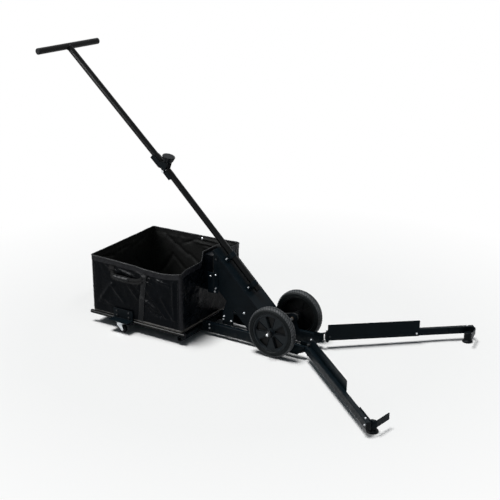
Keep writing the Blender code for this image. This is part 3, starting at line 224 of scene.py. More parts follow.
def mesh_from(name, verts, faces):
    """Mesh of plain vertices and faces, merged and with its faces pointing outwards."""
    mesh = bpy.data.meshes.new(name)
    mesh.from_pydata([tuple(v) for v in verts], [], faces)
    shape = bmesh.new()
    shape.from_mesh(mesh)
    bmesh.ops.remove_doubles(shape, verts=shape.verts, dist=0.000005)
    bmesh.ops.recalc_face_normals(shape, faces=shape.faces)
    shape.to_mesh(mesh)
    shape.free()
    return mesh


def plain(obj):
    """Turn an object and its modifiers into one plain mesh of the same name."""
    depsgraph = bpy.context.evaluated_depsgraph_get()
    depsgraph.update()
    mesh = bpy.data.meshes.new_from_object(obj.evaluated_get(depsgraph))
    obj.modifiers.clear()
    if obj.type == "MESH":
        obj.data = mesh
        return obj
    name = obj.name
    bpy.data.objects.remove(obj, do_unlink=True)
    return new_object(name, mesh)


def finish(obj, body, material, slot, angle=38):
    """Shade, paint and hang a piece on the body that it moves with."""
    obj.data.shade_smooth()
    obj.data.set_sharp_from_angle(angle=math.radians(angle))
    obj.data.materials.clear()
    obj.data.materials.append(MATERIALS[material])
    for polygon in obj.data.polygons:
        polygon.material_index = 0
    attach(obj, body)
    return obj


def basis(origin, x_axis, y_axis, z_axis):
    """Placement from an origin and three axes."""
    rotation = Matrix((x_axis, y_axis, z_axis)).transposed().to_4x4()
    return Matrix.Translation(Vector(origin)) @ rotation


def facing(origin, axis, hint=Vector((0.0, 0.0, 1.0))):
    """Placement whose local Z points along an axis."""
    axis = Vector(axis).normalized()
    if abs(axis.dot(hint)) > 0.95:
        hint = Vector((1.0, 0.0, 0.0))
    across = hint.cross(axis).normalized()
    return basis(origin, across, axis.cross(across), axis)


def turned_mesh(name, profile, matrix, steps=64):
    """Spin (radius, height) points about local Z; ends on the axis close by themselves."""
    verts, rings = [], []
    for radius, height in profile:
        if radius < 0.000001:
            rings.append([len(verts)] * steps)
            verts.append(matrix @ Vector((0.0, 0.0, height)))
            continue
        ring = []
        for i in range(steps):
            turn = 2 * math.pi * i / steps
            ring.append(len(verts))
            verts.append(matrix @ Vector((radius * math.cos(turn), radius * math.sin(turn), height)))
        rings.append(ring)
    pairs = list(zip(rings, rings[1:]))
    if profile[0][0] > 0.000001 and profile[-1][0] > 0.000001:
        pairs.append((rings[-1], rings[0]))
    faces = []
    for first, second in pairs:
        for i in range(steps):
            j = (i + 1) % steps
            face = []
            for index in (first[i], first[j], second[j], second[i]):
                if index not in face:
                    face.append(index)
            if len(face) > 2:
                faces.append(face)
    return mesh_from(name, verts, faces)


def sweep_mesh(name, path, profile, hints, closed=False, swells=None):
    """Carry a closed (side, rise) profile along a path and lay out its UVs in metres."""
    count, sides = len(path), len(profile)
    verts, lengths = [], [0.0]
    for i, point in enumerate(path):
        before = path[i - 1] if closed or i else point
        after = path[(i + 1) % count] if closed or i < count - 1 else point
        tangent = (after - before).normalized()
        side = tangent.cross(hints[i]).normalized()
        rise = side.cross(tangent).normalized()
        swell = swells[i] if swells else 1.0
        verts += [point + (side * u + rise * v) * swell for u, v in profile]
        if i:
            lengths.append(lengths[-1] + (point - path[i - 1]).length)
    spans = count if closed else count - 1
    if closed:
        lengths.append(lengths[-1] + (path[0] - path[-1]).length)
    faces, layout = [], []
    girth = [0.0]
    for (u0, v0), (u1, v1) in zip(profile, profile[1:] + profile[:1]):
        girth.append(girth[-1] + math.hypot(u1 - u0, v1 - v0))
    for i in range(spans):
        j = (i + 1) % count
        for k in range(sides):
            m = (k + 1) % sides
            faces.append((i * sides + k, i * sides + m, j * sides + m, j * sides + k))
            corners = ((lengths[i], girth[k]), (lengths[i], girth[k + 1]))
            far = ((lengths[i + 1], girth[k + 1]), (lengths[i + 1], girth[k]))
            layout.append(corners + far)
    if not closed:
        faces.append(tuple(range(sides)))
        faces.append(tuple(range((count - 1) * sides, count * sides)))
        layout.append([(u, v) for u, v in profile])
        layout.append([(u + lengths[-1], v) for u, v in profile])
    mesh = bpy.data.meshes.new(name)
    mesh.from_pydata([tuple(v) for v in verts], [], faces)
    uv = mesh.uv_layers.new(name="length")
    for polygon, corners in zip(mesh.polygons, layout):
        for loop, corner in zip(polygon.loop_indices, corners):
            uv.data[loop].uv = corner
    shape = bmesh.new()
    shape.from_mesh(mesh)
    bmesh.ops.recalc_face_normals(shape, faces=shape.faces)
    shape.to_mesh(mesh)
    shape.free()
    return mesh


def round_profile(radius, sides=10, squash=1.0):
    """Round or flattened cord section."""
    return [
        (radius * math.cos(2 * math.pi * i / sides), squash * radius * math.sin(2 * math.pi * i / sides))
        for i in range(sides)
    ]


def strap_profile(width, thickness):
    """Section of webbing: flat faces and soft selvedges."""
    half, edge = width / 2, thickness / 2
    return [
        (half, -edge * 0.4), (half, edge * 0.4), (half - edge, edge), (-half + edge, edge),
        (-half, edge * 0.4), (-half, -edge * 0.4), (-half + edge, -edge), (half - edge, -edge),
    ]


def smooth_path(points, steps):
    """Round curve through points, with a number of steps in each span."""
    points = [Vector(p) for p in points]
    ends = [points[0] * 2 - points[1], *points, points[-1] * 2 - points[-2]]
    path = []
    for a, b, c, d in zip(ends, ends[1:], ends[2:], ends[3:]):
        for i in range(steps):
            t = i / steps
            path.append(
                0.5 * (2 * b + (c - a) * t + (2 * a - 5 * b + 4 * c - d) * t * t
                       + (3 * b - a - 3 * c + d) * t ** 3)
            )
    path.append(points[-1])
    return path


def softened_copy(node, width, segments=2):
    """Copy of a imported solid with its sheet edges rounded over."""
    mesh = frame["nodes"][node].data.copy()
    shape = bmesh.new()
    shape.from_mesh(mesh)
    bmesh.ops.remove_doubles(shape, verts=shape.verts, dist=0.000005)
    bmesh.ops.dissolve_limit(
        shape, angle_limit=math.radians(0.6), verts=shape.verts, edges=shape.edges
    )
    bmesh.ops.recalc_face_normals(shape, faces=shape.faces)
    shape.to_mesh(mesh)
    shape.free()
    for name in ("custom_normal", "sharp_edge", "sharp_face"):
        if name in mesh.attributes:
            mesh.attributes.remove(mesh.attributes[name])
    obj = new_object(f"{node}_softened", mesh)
    obj.data.shade_smooth()
    bevel = obj.modifiers.new("edges", "BEVEL")
    bevel.width = width
    bevel.segments = segments
    bevel.limit_method = "ANGLE"
    bevel.angle_limit = math.radians(40)
    bevel.miter_outer = "MITER_ARC"
    weights = obj.modifiers.new("flat faces", "WEIGHTED_NORMAL")
    weights.weight = 90
    return plain(obj)


# Materials


def add_node(tree, kind, inputs=None, **settings):
    """Add a node with its settings, its values and its links."""
    node = tree.nodes.new(kind)
    for key, value in settings.items():
        setattr(node, key, value)
    for key, value in (inputs or {}).items():
        if isinstance(value, bpy.types.NodeSocket):
            tree.links.new(value, node.inputs[key])
        else:
            node.inputs[key].default_value = value
    return node


class Finish:
    """One material while it is being built, with its pattern coordinates."""

    def __init__(self, name, colour, **values):
        self.material = bpy.data.materials.new(name)
        self.material.use_nodes = True
        self.tree = self.material.node_tree
        self.shader = self.tree.nodes["Principled BSDF"]
        self.colour = colour
        self.shader.inputs["Base Color"].default_value = colour
        for key, value in values.items():
            self.shader.inputs[key.replace("_", " ")].default_value = value
        coordinates = add_node(self.tree, "ShaderNodeTexCoord")
        self.place = coordinates.outputs["Object"]
        self.laid = coordinates.outputs["UV"]

    def patches(self, size_mm, detail=3.0, place=None, distortion=0.0):
        """Cloudy pattern whose patches are about this many millimetres across."""
        values = {
            "Vector": place or self.place, "Scale": 1000 / size_mm, "Detail": detail,
            "Distortion": distortion,
        }
        return add_node(self.tree, "ShaderNodeTexNoise", values).outputs["Fac"]

    def between(self, pattern, low, high, start=0.3, end=0.7):
        """Stretch part of a pattern to run from low to high."""
        values = {"Value": pattern, "From Min": start, "From Max": end, "To Min": low, "To Max": high}
        return add_node(self.tree, "ShaderNodeMapRange", values).outputs["Result"]

    def tint(self, pattern, hex_text, amount=1.0, start=0.35, end=0.75):
        """Blend another colour over the base where a pattern is high."""
        source = self.shader.inputs["Base Color"]
        under = source.links[0].from_socket if source.is_linked else self.colour
        values = {
            0: self.between(pattern, 0.0, amount, start, end), 6: under, 7: linear(hex_text),
        }
        mix = add_node(self.tree, "ShaderNodeMix", values, data_type="RGBA")
        self.tree.links.new(mix.outputs[2], source)

    def rough(self, pattern, low, high, start=0.3, end=0.7):
        """Let the roughness wander with a pattern."""
        wander = self.between(pattern, low, high, start, end)
        self.tree.links.new(wander, self.shader.inputs["Roughness"])

    def bump(self, pattern, depth_mm, strength=1.0):
        """Raise a pattern by a depth, over any bump already there."""
        normal = self.shader.inputs["Normal"]
        values = {"Height": pattern, "Distance": depth_mm / 1000, "Strength": strength}
        if normal.is_linked:
            values["Normal"] = normal.links[0].from_socket
        node = add_node(self.tree, "ShaderNodeBump", values)
        self.tree.links.new(node.outputs["Normal"], normal)

    def axis(self, name):
        """One object coordinate in metres."""
        return add_node(self.tree, "ShaderNodeSeparateXYZ", {"Vector": self.place}).outputs[name]

    def product(self, first, second):
        """Two patterns multiplied."""
        values = {0: first, 1: second}
        return add_node(self.tree, "ShaderNodeMath", values, operation="MULTIPLY").outputs[0]


def dust_low_down(finish, top, amount, hex_text="6C6A64"):
    """Court dust that thins out with height."""
    low = finish.between(finish.axis("Z"), 1.0, 0.0, 0.0, top)
    cloud = finish.between(finish.patches(16, 6.0), 0.0, 1.0, 0.35, 0.75)
    finish.tint(finish.product(low, cloud), hex_text, amount, 0.1, 1.0)


def powder_coat(settings):
    """Polyester powder coat, baked on sheet steel: satin, with a fine orange peel."""
    finish = Finish(
        "baked satin powder coat on steel", tuple(settings.coat), Roughness=0.4, IOR=1.5,
        Specular_IOR_Level=0.05,
    )
    # Orange peel is about 1.2 mm across; the slower clouding is what shows from afar.
    finish.tint(finish.patches(45, 4.0), "0C161C", 0.7)
    finish.rough(finish.patches(22, 5.0), 0.33, 0.50)
    finish.bump(finish.patches(1.4, 1.0), 0.05, 0.35)
    dust_low_down(finish, 0.05, 0.22)
    return finish.material


def tube_coat(settings):
    """Smoother gloss powder coat on drawn tube, with faint drawing marks."""
    finish = Finish(
        "gloss powder coat on drawn steel tube", tuple(settings.tube), Roughness=0.3, IOR=1.5,
        Specular_IOR_Level=0.08,
    )
    finish.rough(finish.patches(30, 4.0), 0.24, 0.36)
    finish.bump(finish.patches(1.8, 1.0), 0.03, 0.25)
    return finish.material


def tyre_rubber(settings):
    """Moulded solid rubber: dark, matt, greyed by court dust on the tread."""
    finish = Finish(
        "moulded tyre rubber", tuple(settings.rubber), Roughness=0.55, IOR=1.52,
        Specular_IOR_Level=0.08,
    )
    finish.tint(finish.patches(12, 6.0), "1A1E20", 0.6, 0.4, 0.8)
    finish.rough(finish.patches(9, 5.0), 0.42, 0.68)
    finish.bump(finish.patches(0.9, 2.0), 0.05, 0.4)
    return finish.material


def worn_tread(settings):
    """Same rubber where the ground rubs it: greyer, rougher and dusty in patches."""
    finish = Finish(
        "tread rubber worn by the court", tuple(settings.tread), Roughness=0.55, IOR=1.52,
        Specular_IOR_Level=0.35,
    )
    finish.tint(finish.patches(7, 6.0), "56585A", 0.7, 0.4, 0.75)
    finish.rough(finish.patches(5, 5.0), 0.42, 0.7)
    finish.bump(finish.patches(0.9, 2.0), 0.08, 0.5)
    return finish.material


def wheel_plastic(settings):
    """Injection-moulded nylon: even black with a fine spark-eroded grain."""
    finish = Finish(
        "injection-moulded nylon", tuple(settings.plastic), Roughness=0.4, IOR=1.53,
        Specular_IOR_Level=0.06,
    )
    finish.rough(finish.patches(14, 4.0), 0.34, 0.52)
    finish.bump(finish.patches(0.7, 2.0), 0.03, 0.35)
    finish.tint(finish.patches(25, 5.0), "11171B", 0.5, 0.45, 0.8)
    return finish.material


def rim_plastic_painted_shade(settings):
    """Same moulding nylon on the rims, with painted light and shade: the pockets painted near black as
    shade, the fans' faces painted lighter as lit.
    """
    finish = Finish(
        "moulded nylon of the rims", linear("040607"), Roughness=0.45, IOR=1.53,
        Specular_IOR_Level=0.1,
    )
    depth = add_node(
        finish.tree, "ShaderNodeMath", {0: finish.axis("Y")}, operation="ABSOLUTE"
    ).outputs[0]
    # The pocket floors lie 94.5 mm from the middle of the cart, the fans' faces 100.5 mm. The colour
    # runs from painted shade on the floors to a painted lit tone on the faces.
    finish.tint(finish.between(depth, 0.0, 1.0, 0.0960, 0.1000), "1B2226", 1.0, 0.0, 1.0)
    finish.tint(finish.patches(18, 5.0), "0C1013", 0.5, 0.4, 0.8)
    finish.rough(finish.patches(14, 4.0), 0.36, 0.54)
    finish.bump(finish.patches(0.7, 2.0), 0.03, 0.35)
    return finish.material


def knob_plastic(settings):
    """Moulded phenolic-look plastic of the knob and the tube ends."""
    finish = Finish(
        "moulded black polypropylene", tuple(settings.plastic), Roughness=0.45, IOR=1.49,
        Specular_IOR_Level=0.1,
    )
    finish.rough(finish.patches(8, 4.0), 0.38, 0.56)
    finish.bump(finish.patches(0.8, 2.0), 0.03, 0.4)
    return finish.material


def zinc_plate(settings):
    """Bright zinc plate on turned steel: pale, slightly blue, finely brushed."""
    finish = Finish(
        "bright zinc plate on steel", tuple(settings.zinc), Roughness=0.3, Metallic=1.0
    )
    finish.tint(finish.patches(4, 4.0), "8F949A", 0.5)
    finish.rough(finish.patches(3, 4.0), 0.22, 0.42)
    finish.bump(finish.patches(0.5, 2.0), 0.02, 0.3)
    return finish.material


def black_oxide(settings):
    """Oil-blacked steel of nuts, pivot bolts and rivets: near black, with a soft metal shine."""
    finish = Finish("black-oxide steel", linear("1C1E20"), Roughness=0.42, Metallic=0.6)
    finish.tint(finish.patches(3, 4.0), "2C2E31", 0.6)
    finish.rough(finish.patches(2, 3.0), 0.34, 0.54)
    return finish.material


def pressed_zinc(settings):
    """Galvanised pressed sheet: a soft spangle of grey plates about 5 mm across."""
    finish = Finish(
        "galvanised pressed sheet", tuple(settings.zinc), Roughness=0.4, Metallic=1.0
    )
    values = {"Vector": finish.place, "Scale": 1000 / 5}
    spangle = add_node(finish.tree, "ShaderNodeTexVoronoi", values).outputs["Color"]
    finish.tint(spangle, "9AA0A6", 0.6, 0.2, 0.8)
    finish.rough(finish.patches(5, 3.0), 0.32, 0.5)
    return finish.material


def coated_nylon(settings):
    """Woven nylon with a shiny coating: a grid of threads under gloss, fine creases."""
    finish = Finish(
        "polyurethane-coated woven nylon", tuple(settings.nylon), Roughness=0.26, IOR=1.5,
        Specular_IOR_Level=0.035,
    )
    # Threads lie 0.45 mm apart; the grid is drawn at 1.3 mm so that it shows at all.
    for axis in ("X", "Y", "Z"):
        values = {"Vector": finish.place, "Scale": 2 * math.pi / 20 * 1000 / 1.3}
        threads = add_node(
            finish.tree, "ShaderNodeTexWave", values, bands_direction=axis
        ).outputs["Fac"]
        finish.bump(threads, 0.04, 0.22)
    # Small creases, about 14 and 38 mm across, where the coating has been folded.
    finish.bump(finish.patches(14, 5.0, distortion=1.4), 1.3, 0.6)
    finish.bump(finish.patches(38, 2.0, distortion=0.6), 3.0, 0.6)
    finish.rough(finish.patches(26, 4.0), 0.2, 0.36)
    finish.tint(finish.patches(55, 4.0), "090D12", 0.7)
    return finish.material


def cloth_lining(settings):
    """Uncoated back of the same nylon: matt, a shade lighter, with the creases showing."""
    finish = Finish(
        "uncoated back of woven nylon", tuple(settings.lining), Roughness=0.7, IOR=1.5,
        Specular_IOR_Level=0.1,
    )
    finish.tint(finish.patches(40, 5.0), "0D0E0F", 0.8, 0.4, 0.7)
    finish.bump(finish.patches(12, 5.0, distortion=1.2), 1.2, 0.7)
    finish.rough(finish.patches(18, 4.0), 0.6, 0.8)
    return finish.material


def hem_tape(settings):
    """Ribbed polyester tape over the hem: greyer and flatter than the cloth, puckered."""
    finish = Finish(
        "woven polyester hem tape", tuple(settings.tape), Roughness=0.4, IOR=1.5,
        Specular_IOR_Level=0.1,
    )
    finish.tint(finish.patches(9, 5.0), "26272C", 0.7, 0.4, 0.75)
    finish.bump(finish.patches(9, 4.0, distortion=1.0), 1.2, 0.8)
    finish.bump(finish.patches(1.3, 1.0), 0.15, 0.4)
    finish.rough(finish.patches(8, 4.0), 0.3, 0.5)
    return finish.material


def foot_tape_dust_and_painted_light(settings):
    """Rolled tape under the basket, brown-grey: partly court dust, partly painted light, the whole roll
    coloured lighter as if it caught the light.
    """
    finish = Finish(
        "dusty rolled seam tape", linear("201F1E"), Roughness=0.6, IOR=1.5,
        Specular_IOR_Level=0.25,
    )
    finish.tint(finish.patches(11, 6.0), "4C4943", 0.7, 0.4, 0.7)
    finish.bump(finish.patches(4, 4.0), 0.4, 0.5)
    finish.rough(finish.patches(8, 4.0), 0.5, 0.75)
    return finish.material


def webbing_weave(settings):
    """Woven polypropylene webbing: ribs 2 mm apart across the strap."""
    finish = Finish(
        "woven polypropylene webbing", tuple(settings.webbing), Roughness=0.6, IOR=1.49,
        Specular_IOR_Level=0.08,
    )
    for axis, pitch in (("X", 2.2), ("Y", 1.5)):
        values = {"Vector": finish.laid, "Scale": 2 * math.pi / 20 * 1000 / pitch}
        ribs = add_node(
            finish.tree, "ShaderNodeTexWave", values, bands_direction=axis
        ).outputs["Fac"]
        finish.bump(ribs, 0.35, 0.6)
    finish.rough(finish.patches(6, 4.0), 0.55, 0.8)
    return finish.material


def bound_edge(settings):
    """Coated tape folded over the seam cords: slightly glossier than the cloth."""
    finish = Finish(
        "coated binding tape", tuple(settings.nylon), Roughness=0.3, IOR=1.5,
        Specular_IOR_Level=0.12,
    )
    finish.bump(finish.patches(6, 4.0, distortion=1.2), 0.9, 0.7)
    finish.rough(finish.patches(9, 4.0), 0.28, 0.5)
    return finish.material


def sewing_thread(settings):
    """Bonded polyester thread, a shade lighter than the cloth."""
    finish = Finish("bonded polyester thread", linear("26282C"), Roughness=0.6, IOR=1.5)
    finish.bump(finish.patches(0.6, 2.0), 0.1, 0.4)
    return finish.material


def belt_rubber(settings):
    """Ribbed rubber belting: dark grey, matt and dusty."""
    finish = Finish("ribbed rubber belting", linear("1E2022"), Roughness=0.66, IOR=1.52)
    finish.tint(finish.patches(10, 5.0), "3B3B36", 0.6, 0.4, 0.8)
    finish.rough(finish.patches(7, 4.0), 0.55, 0.8)
    finish.bump(finish.patches(1.0, 2.0), 0.06, 0.4)
    return finish.material


def bronze_bush(settings):
    """Sintered bronze of the axle bushes: dull brown, dark with oil."""
    finish = Finish("sintered bronze", linear("4A3D2E"), Roughness=0.45, Metallic=1.0)
    finish.tint(finish.patches(1.6, 3.0), "241D15", 0.7, 0.45, 0.7)
    finish.rough(finish.patches(3, 3.0), 0.35, 0.6)
    return finish.material


def board_cover(settings):
    """Same coated cloth drawn flat over the basket's base board."""
    finish = Finish(
        "coated nylon over base board", tuple(settings.nylon), Roughness=0.4, IOR=1.5,
        Specular_IOR_Level=0.06,
    )
    finish.bump(finish.patches(30, 4.0, distortion=0.8), 1.2, 0.5)
    finish.rough(finish.patches(18, 4.0), 0.3, 0.55)
    dust_low_down(finish, 0.09, 0.3)
    return finish.material


def make_materials(settings):
    """Build every finish once."""
    makers = {
        "powder_coat": powder_coat, "black_tube": tube_coat, "tread_rubber": tyre_rubber,
        "wheel_plastic": wheel_plastic, "knob_plastic": knob_plastic, "zinc_steel": zinc_plate,
        "pressed_zinc": pressed_zinc, "coated_nylon": coated_nylon, "webbing": webbing_weave,
        "binding": bound_edge, "thread": sewing_thread, "belt_rubber": belt_rubber,
        "bronze_bush": bronze_bush, "board": board_cover, "worn_tread": worn_tread,
        "black_oxide": black_oxide, "rim_plastic_painted_shade": rim_plastic_painted_shade, "lining": cloth_lining,
        "hem_tape": hem_tape, "foot_tape_dust_and_painted_light": foot_tape_dust_and_painted_light,
    }
    for name, maker in makers.items():
        MATERIALS[name] = maker(settings)


def paint_packed_solids():
    """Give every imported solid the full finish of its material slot."""
    for row in frame["record"]["subparts"]:
        solid = frame["nodes"][row["node"]]
        material = MATERIALS[SPECIAL_FINISH.get(row["node"], row["material_slot"])]
        if not solid.material_slots:
            solid.data.materials.append(material)
        for slot in solid.material_slots:
            slot.material = material


# Geometry Nodes


def start_nodes(name, sockets):
    """Begin a Geometry Nodes tree with named inputs."""
    tree = bpy.data.node_groups.new(name, "GeometryNodeTree")
    face = tree.interface
    face.new_socket("Geometry", in_out="INPUT", socket_type="NodeSocketGeometry")
    for label, kind in sockets:
        face.new_socket(label, in_out="INPUT", socket_type=kind)
    face.new_socket("Geometry", in_out="OUTPUT", socket_type="NodeSocketGeometry")
    inputs = tree.nodes.new("NodeGroupInput").outputs
    return tree, inputs


def end_nodes(tree, geometry, inputs):
    """Realise the copies, set their material and close the tree."""
    real = add_node(tree, "GeometryNodeRealizeInstances", {"Geometry": geometry})
    painted = add_node(
        tree, "GeometryNodeSetMaterial",
        {"Geometry": real.outputs["Geometry"], "Material": inputs["Material"]},
    )
    add_node(tree, "NodeGroupOutput", {"Geometry": painted.outputs["Geometry"]})
    return tree


def ring_nodes():
    """Copies of a piece turned evenly about the Y axis."""
    sockets = (("Piece", "NodeSocketObject"), ("Count", "NodeSocketInt"),
               ("Phase", "NodeSocketFloat"), ("Material", "NodeSocketMaterial"))
    tree, inputs = start_nodes("ring of pieces", sockets)
    line = add_node(
        tree, "GeometryNodeMeshLine", {"Count": inputs["Count"], "Offset": (0.0, 0.0, 0.0)}
    )
    piece = add_node(tree, "GeometryNodeObjectInfo", {"Object": inputs["Piece"]})
    step = add_node(
        tree, "ShaderNodeMath", {0: 2 * math.pi, 1: inputs["Count"]}, operation="DIVIDE"
    )
    index = add_node(tree, "GeometryNodeInputIndex")
    turn = add_node(
        tree, "ShaderNodeMath",
        {0: index.outputs[0], 1: step.outputs[0], 2: inputs["Phase"]}, operation="MULTIPLY_ADD",
    )
    angles = add_node(tree, "ShaderNodeCombineXYZ", {"Y": turn.outputs[0]})
    copies = add_node(
        tree, "GeometryNodeInstanceOnPoints",
        {"Points": line.outputs["Mesh"], "Instance": piece.outputs["Geometry"],
         "Rotation": angles.outputs["Vector"]},
    )
    return end_nodes(tree, copies.outputs["Instances"], inputs)


def spread_nodes():
    """Copies of a piece on loose points, each along its point's facing vector."""
    sockets = (("Piece", "NodeSocketObject"), ("Turn", "NodeSocketFloat"),
               ("Seed", "NodeSocketInt"), ("Material", "NodeSocketMaterial"))
    tree, inputs = start_nodes("pieces on points", sockets)
    piece = add_node(tree, "GeometryNodeObjectInfo", {"Object": inputs["Piece"]})
    face = add_node(
        tree, "GeometryNodeInputNamedAttribute", {"Name": "facing"}, data_type="FLOAT_VECTOR"
    )
    chance = add_node(
        tree, "FunctionNodeRandomValue",
        {"Max": inputs["Turn"], "Seed": inputs["Seed"]}, data_type="FLOAT",
    )
    spin = add_node(tree, "ShaderNodeCombineXYZ", {"Z": chance.outputs["Value"]})
    aligned = add_node(
        tree, "FunctionNodeAlignEulerToVector",
        {"Rotation": spin.outputs["Vector"], "Vector": face.outputs["Attribute"]}, axis="Z",
    )
    copies = add_node(
        tree, "GeometryNodeInstanceOnPoints",
        {"Points": inputs["Geometry"], "Instance": piece.outputs["Geometry"],
         "Rotation": aligned.outputs["Rotation"]},
    )
    return end_nodes(tree, copies.outputs["Instances"], inputs)


def stitch_nodes():
    """Copies of a piece at an even pitch along a curve, pointing along it."""
    sockets = (("Piece", "NodeSocketObject"), ("Pitch", "NodeSocketFloat"),
               ("Material", "NodeSocketMaterial"))
    tree, inputs = start_nodes("pieces along a path", sockets)
    piece = add_node(tree, "GeometryNodeObjectInfo", {"Object": inputs["Piece"]})
    spaced = add_node(
        tree, "GeometryNodeResampleCurve",
        {"Curve": inputs["Geometry"], "Length": inputs["Pitch"]}, mode="LENGTH",
    )
    tangent = add_node(tree, "GeometryNodeInputTangent")
    aligned = add_node(
        tree, "FunctionNodeAlignEulerToVector", {"Vector": tangent.outputs["Tangent"]}, axis="X"
    )
    copies = add_node(
        tree, "GeometryNodeInstanceOnPoints",
        {"Points": spaced.outputs["Curve"], "Instance": piece.outputs["Geometry"],
         "Rotation": aligned.outputs["Rotation"]},
    )
    return end_nodes(tree, copies.outputs["Instances"], inputs)


def run_nodes(obj, tree, values):
    """Run a tree on an object with its named inputs and keep the plain result."""
    modifier = obj.modifiers.new(tree.name, "NODES")
    modifier.node_group = tree
    for item in tree.interface.items_tree:
        if item.item_type == "SOCKET" and item.in_out == "INPUT" and item.name in values:
            modifier[item.identifier] = values[item.name]
    result = plain(obj)
    helper = values["Piece"]
    bpy.data.objects.remove(helper, do_unlink=True)
    return result


def poly_curve(name, points, closed=False):
    """Curve of straight spans that a Geometry Nodes tree follows."""
    curve = bpy.data.curves.new(name, "CURVE")
    curve.dimensions = "3D"
    spline = curve.splines.new("POLY")
    spline.points.add(len(points) - 1)
    for point, place in zip(spline.points, points):
        point.co = (*place, 1.0)
    spline.use_cyclic_u = closed
    obj = bpy.data.objects.new(name, curve)
    bpy.context.scene.collection.objects.link(obj)
    return obj


# Sheet metal and tubes


def soften_sheet_metal():
    """Rounded edges on every folded, sawn or moulded piece that shows one."""
    rows = []
    for side, _ in SIDES:
        rows += [
            (f"side_plate_{side}", 0.0004, "chassis"),
            (f"caster_plate_{side}", 0.0005, "chassis"),
            (f"basket_hanger_{side}", 0.0004, "chassis"),
            (f"arm_bracket_{side}", 0.0004, "chassis"),
            (f"base_beam_{side}", 0.0005, "chassis"),
            (f"arm_panel_{side}", 0.0005, f"arm_{side}"),
            (f"tip_hook_{side}", 0.0005, f"arm_{side}"),
            (f"arm_foot_{side}", 0.0004, f"arm_{side}"),
            (f"wheel_rim_{side}", 0.0006, "wheelset"),
            (f"caster_fork_{side}", 0.0003, f"caster_fork_{side}"),
        ]
    rows += [
        ("top_cover", 0.0004, "chassis"), ("cross_bar_front", 0.0005, "chassis"),
        ("cross_bar_rear", 0.0005, "chassis"), ("saddle_clamp_upper", 0.0006, "chassis"),
        ("saddle_clamp_lower", 0.0006, "chassis"), ("lower_fold_bracket", 0.0004, "chassis"),
        ("upper_fold_bracket", 0.0004, "upper_handle"), ("fold_knob", 0.0005, "fold_knob"),
    ]
    slots = {row["node"]: row["material_slot"] for row in frame["record"]["subparts"]}
    for node, width, body in rows:
        piece = softened_copy(node, width)
        piece.data.materials.clear()
        piece.data.materials.append(MATERIALS[SPECIAL_FINISH.get(node, slots[node])])
        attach(piece, body)
        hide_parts(node)


def handle_weld():
    """Weld bead round the foot of the cross handle."""
    low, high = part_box("cross_handle")
    bar = (low + high) / 2
    run = (FOLD_JOINT - bar).normalized()
    place = facing(bar, run, Vector((0.0, 1.0, 0.0)))
    path, hints = [], []
    count = 72
    bar_radius, tube_radius = 0.0115, 0.0112
    for i in range(count):
        turn = 2 * math.pi * i / count
        across, along_bar = tube_radius * math.cos(turn), tube_radius * math.sin(turn)
        local = Vector((across, along_bar, 0.0))
        point = place @ local - bar
        reach = math.sqrt(max(bar_radius ** 2 - (point.dot(run.cross(Vector((0, 1, 0))))) ** 2, 0.0))
        ripple = 0.0003 * math.sin(13 * turn)
        path.append(bar + point + run * (reach + 0.0003 + ripple))
        hints.append(run)
    bead = sweep_mesh("handle_weld", path, round_profile(0.0017, 8), hints, closed=True)
    finish(new_object("handle_weld", bead), "upper_handle", "black_tube", "black_tube")


def rail_plugs():
    """Moulded plugs in the open ends of the side rails."""
    for side, _ in SIDES:
        low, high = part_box(f"side_rail_{side}")
        middle = (low + high) / 2
        for place, x, way in (("rear", low.x, -1), ("front", high.x, 1)):
            profile = [
                (0.0, 0.0014), (0.0040, 0.0013), (0.0062, 0.0009), (0.0069, 0.0003),
                (0.0056, 0.0002), (0.0056, -0.0060), (0.0, -0.0060),
            ]
            name = f"rail_plug_{place}_{side}"
            matrix = facing((x, middle.y, middle.z), (way, 0, 0))
            mesh = turned_mesh(name, profile, matrix, 32)
            finish(new_object(name, mesh), "chassis", "knob_plastic", "knob_plastic")


# Wheels


def tyre_carcass(side):
    """Tyre body: bead, ringed side walls, round shoulders and a groove floor."""
    settings = bpy.context.scene.ball_cart_tyres
    low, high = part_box(f"tyre_{side}")
    half = (high.y - low.y) / 2
    radius = (high.z - low.z) / 2
    bead = 0.0668
    outer_side = [
        (bead, half - 0.0030), (bead + 0.0008, half - 0.0012), (bead + 0.0024, half - 0.0002),
        (bead + 0.0040, half - 0.0004), (bead + 0.0046, half - 0.0012),
        (bead + 0.0056, half - 0.0010), (bead + 0.0062, half - 0.0002),
        (bead + 0.0076, half - 0.0001), (bead + 0.0082, half - 0.0010),
        (bead + 0.0094, half - 0.0010), (bead + 0.0100, half - 0.0002),
        (bead + 0.0118, half - 0.0004), (bead + 0.0126, half - 0.0014),
        (bead + 0.0140, half - 0.0018), (bead + 0.0152, half - 0.0026),
        (radius - 0.0048, half - 0.0034), (radius - 0.0034, half - 0.0052),
        (radius - settings.depth - 0.0004, half - 0.0078), (radius - settings.depth, 0.0),
    ]
    inner_side = [(r, -h) for r, h in reversed(outer_side[:-1])]
    centre = Vector((AXLE.x, (low.y + high.y) / 2, AXLE.z))
    matrix = facing(centre, (0, 1, 0))
    name = f"tyre_body_{side}"
    obj = new_object(name, turned_mesh(name, outer_side + inner_side, matrix, 112))
    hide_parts(f"tyre_{side}")
    finish(obj, "wheelset", "tread_rubber", "tread_rubber")
    return centre, radius, half


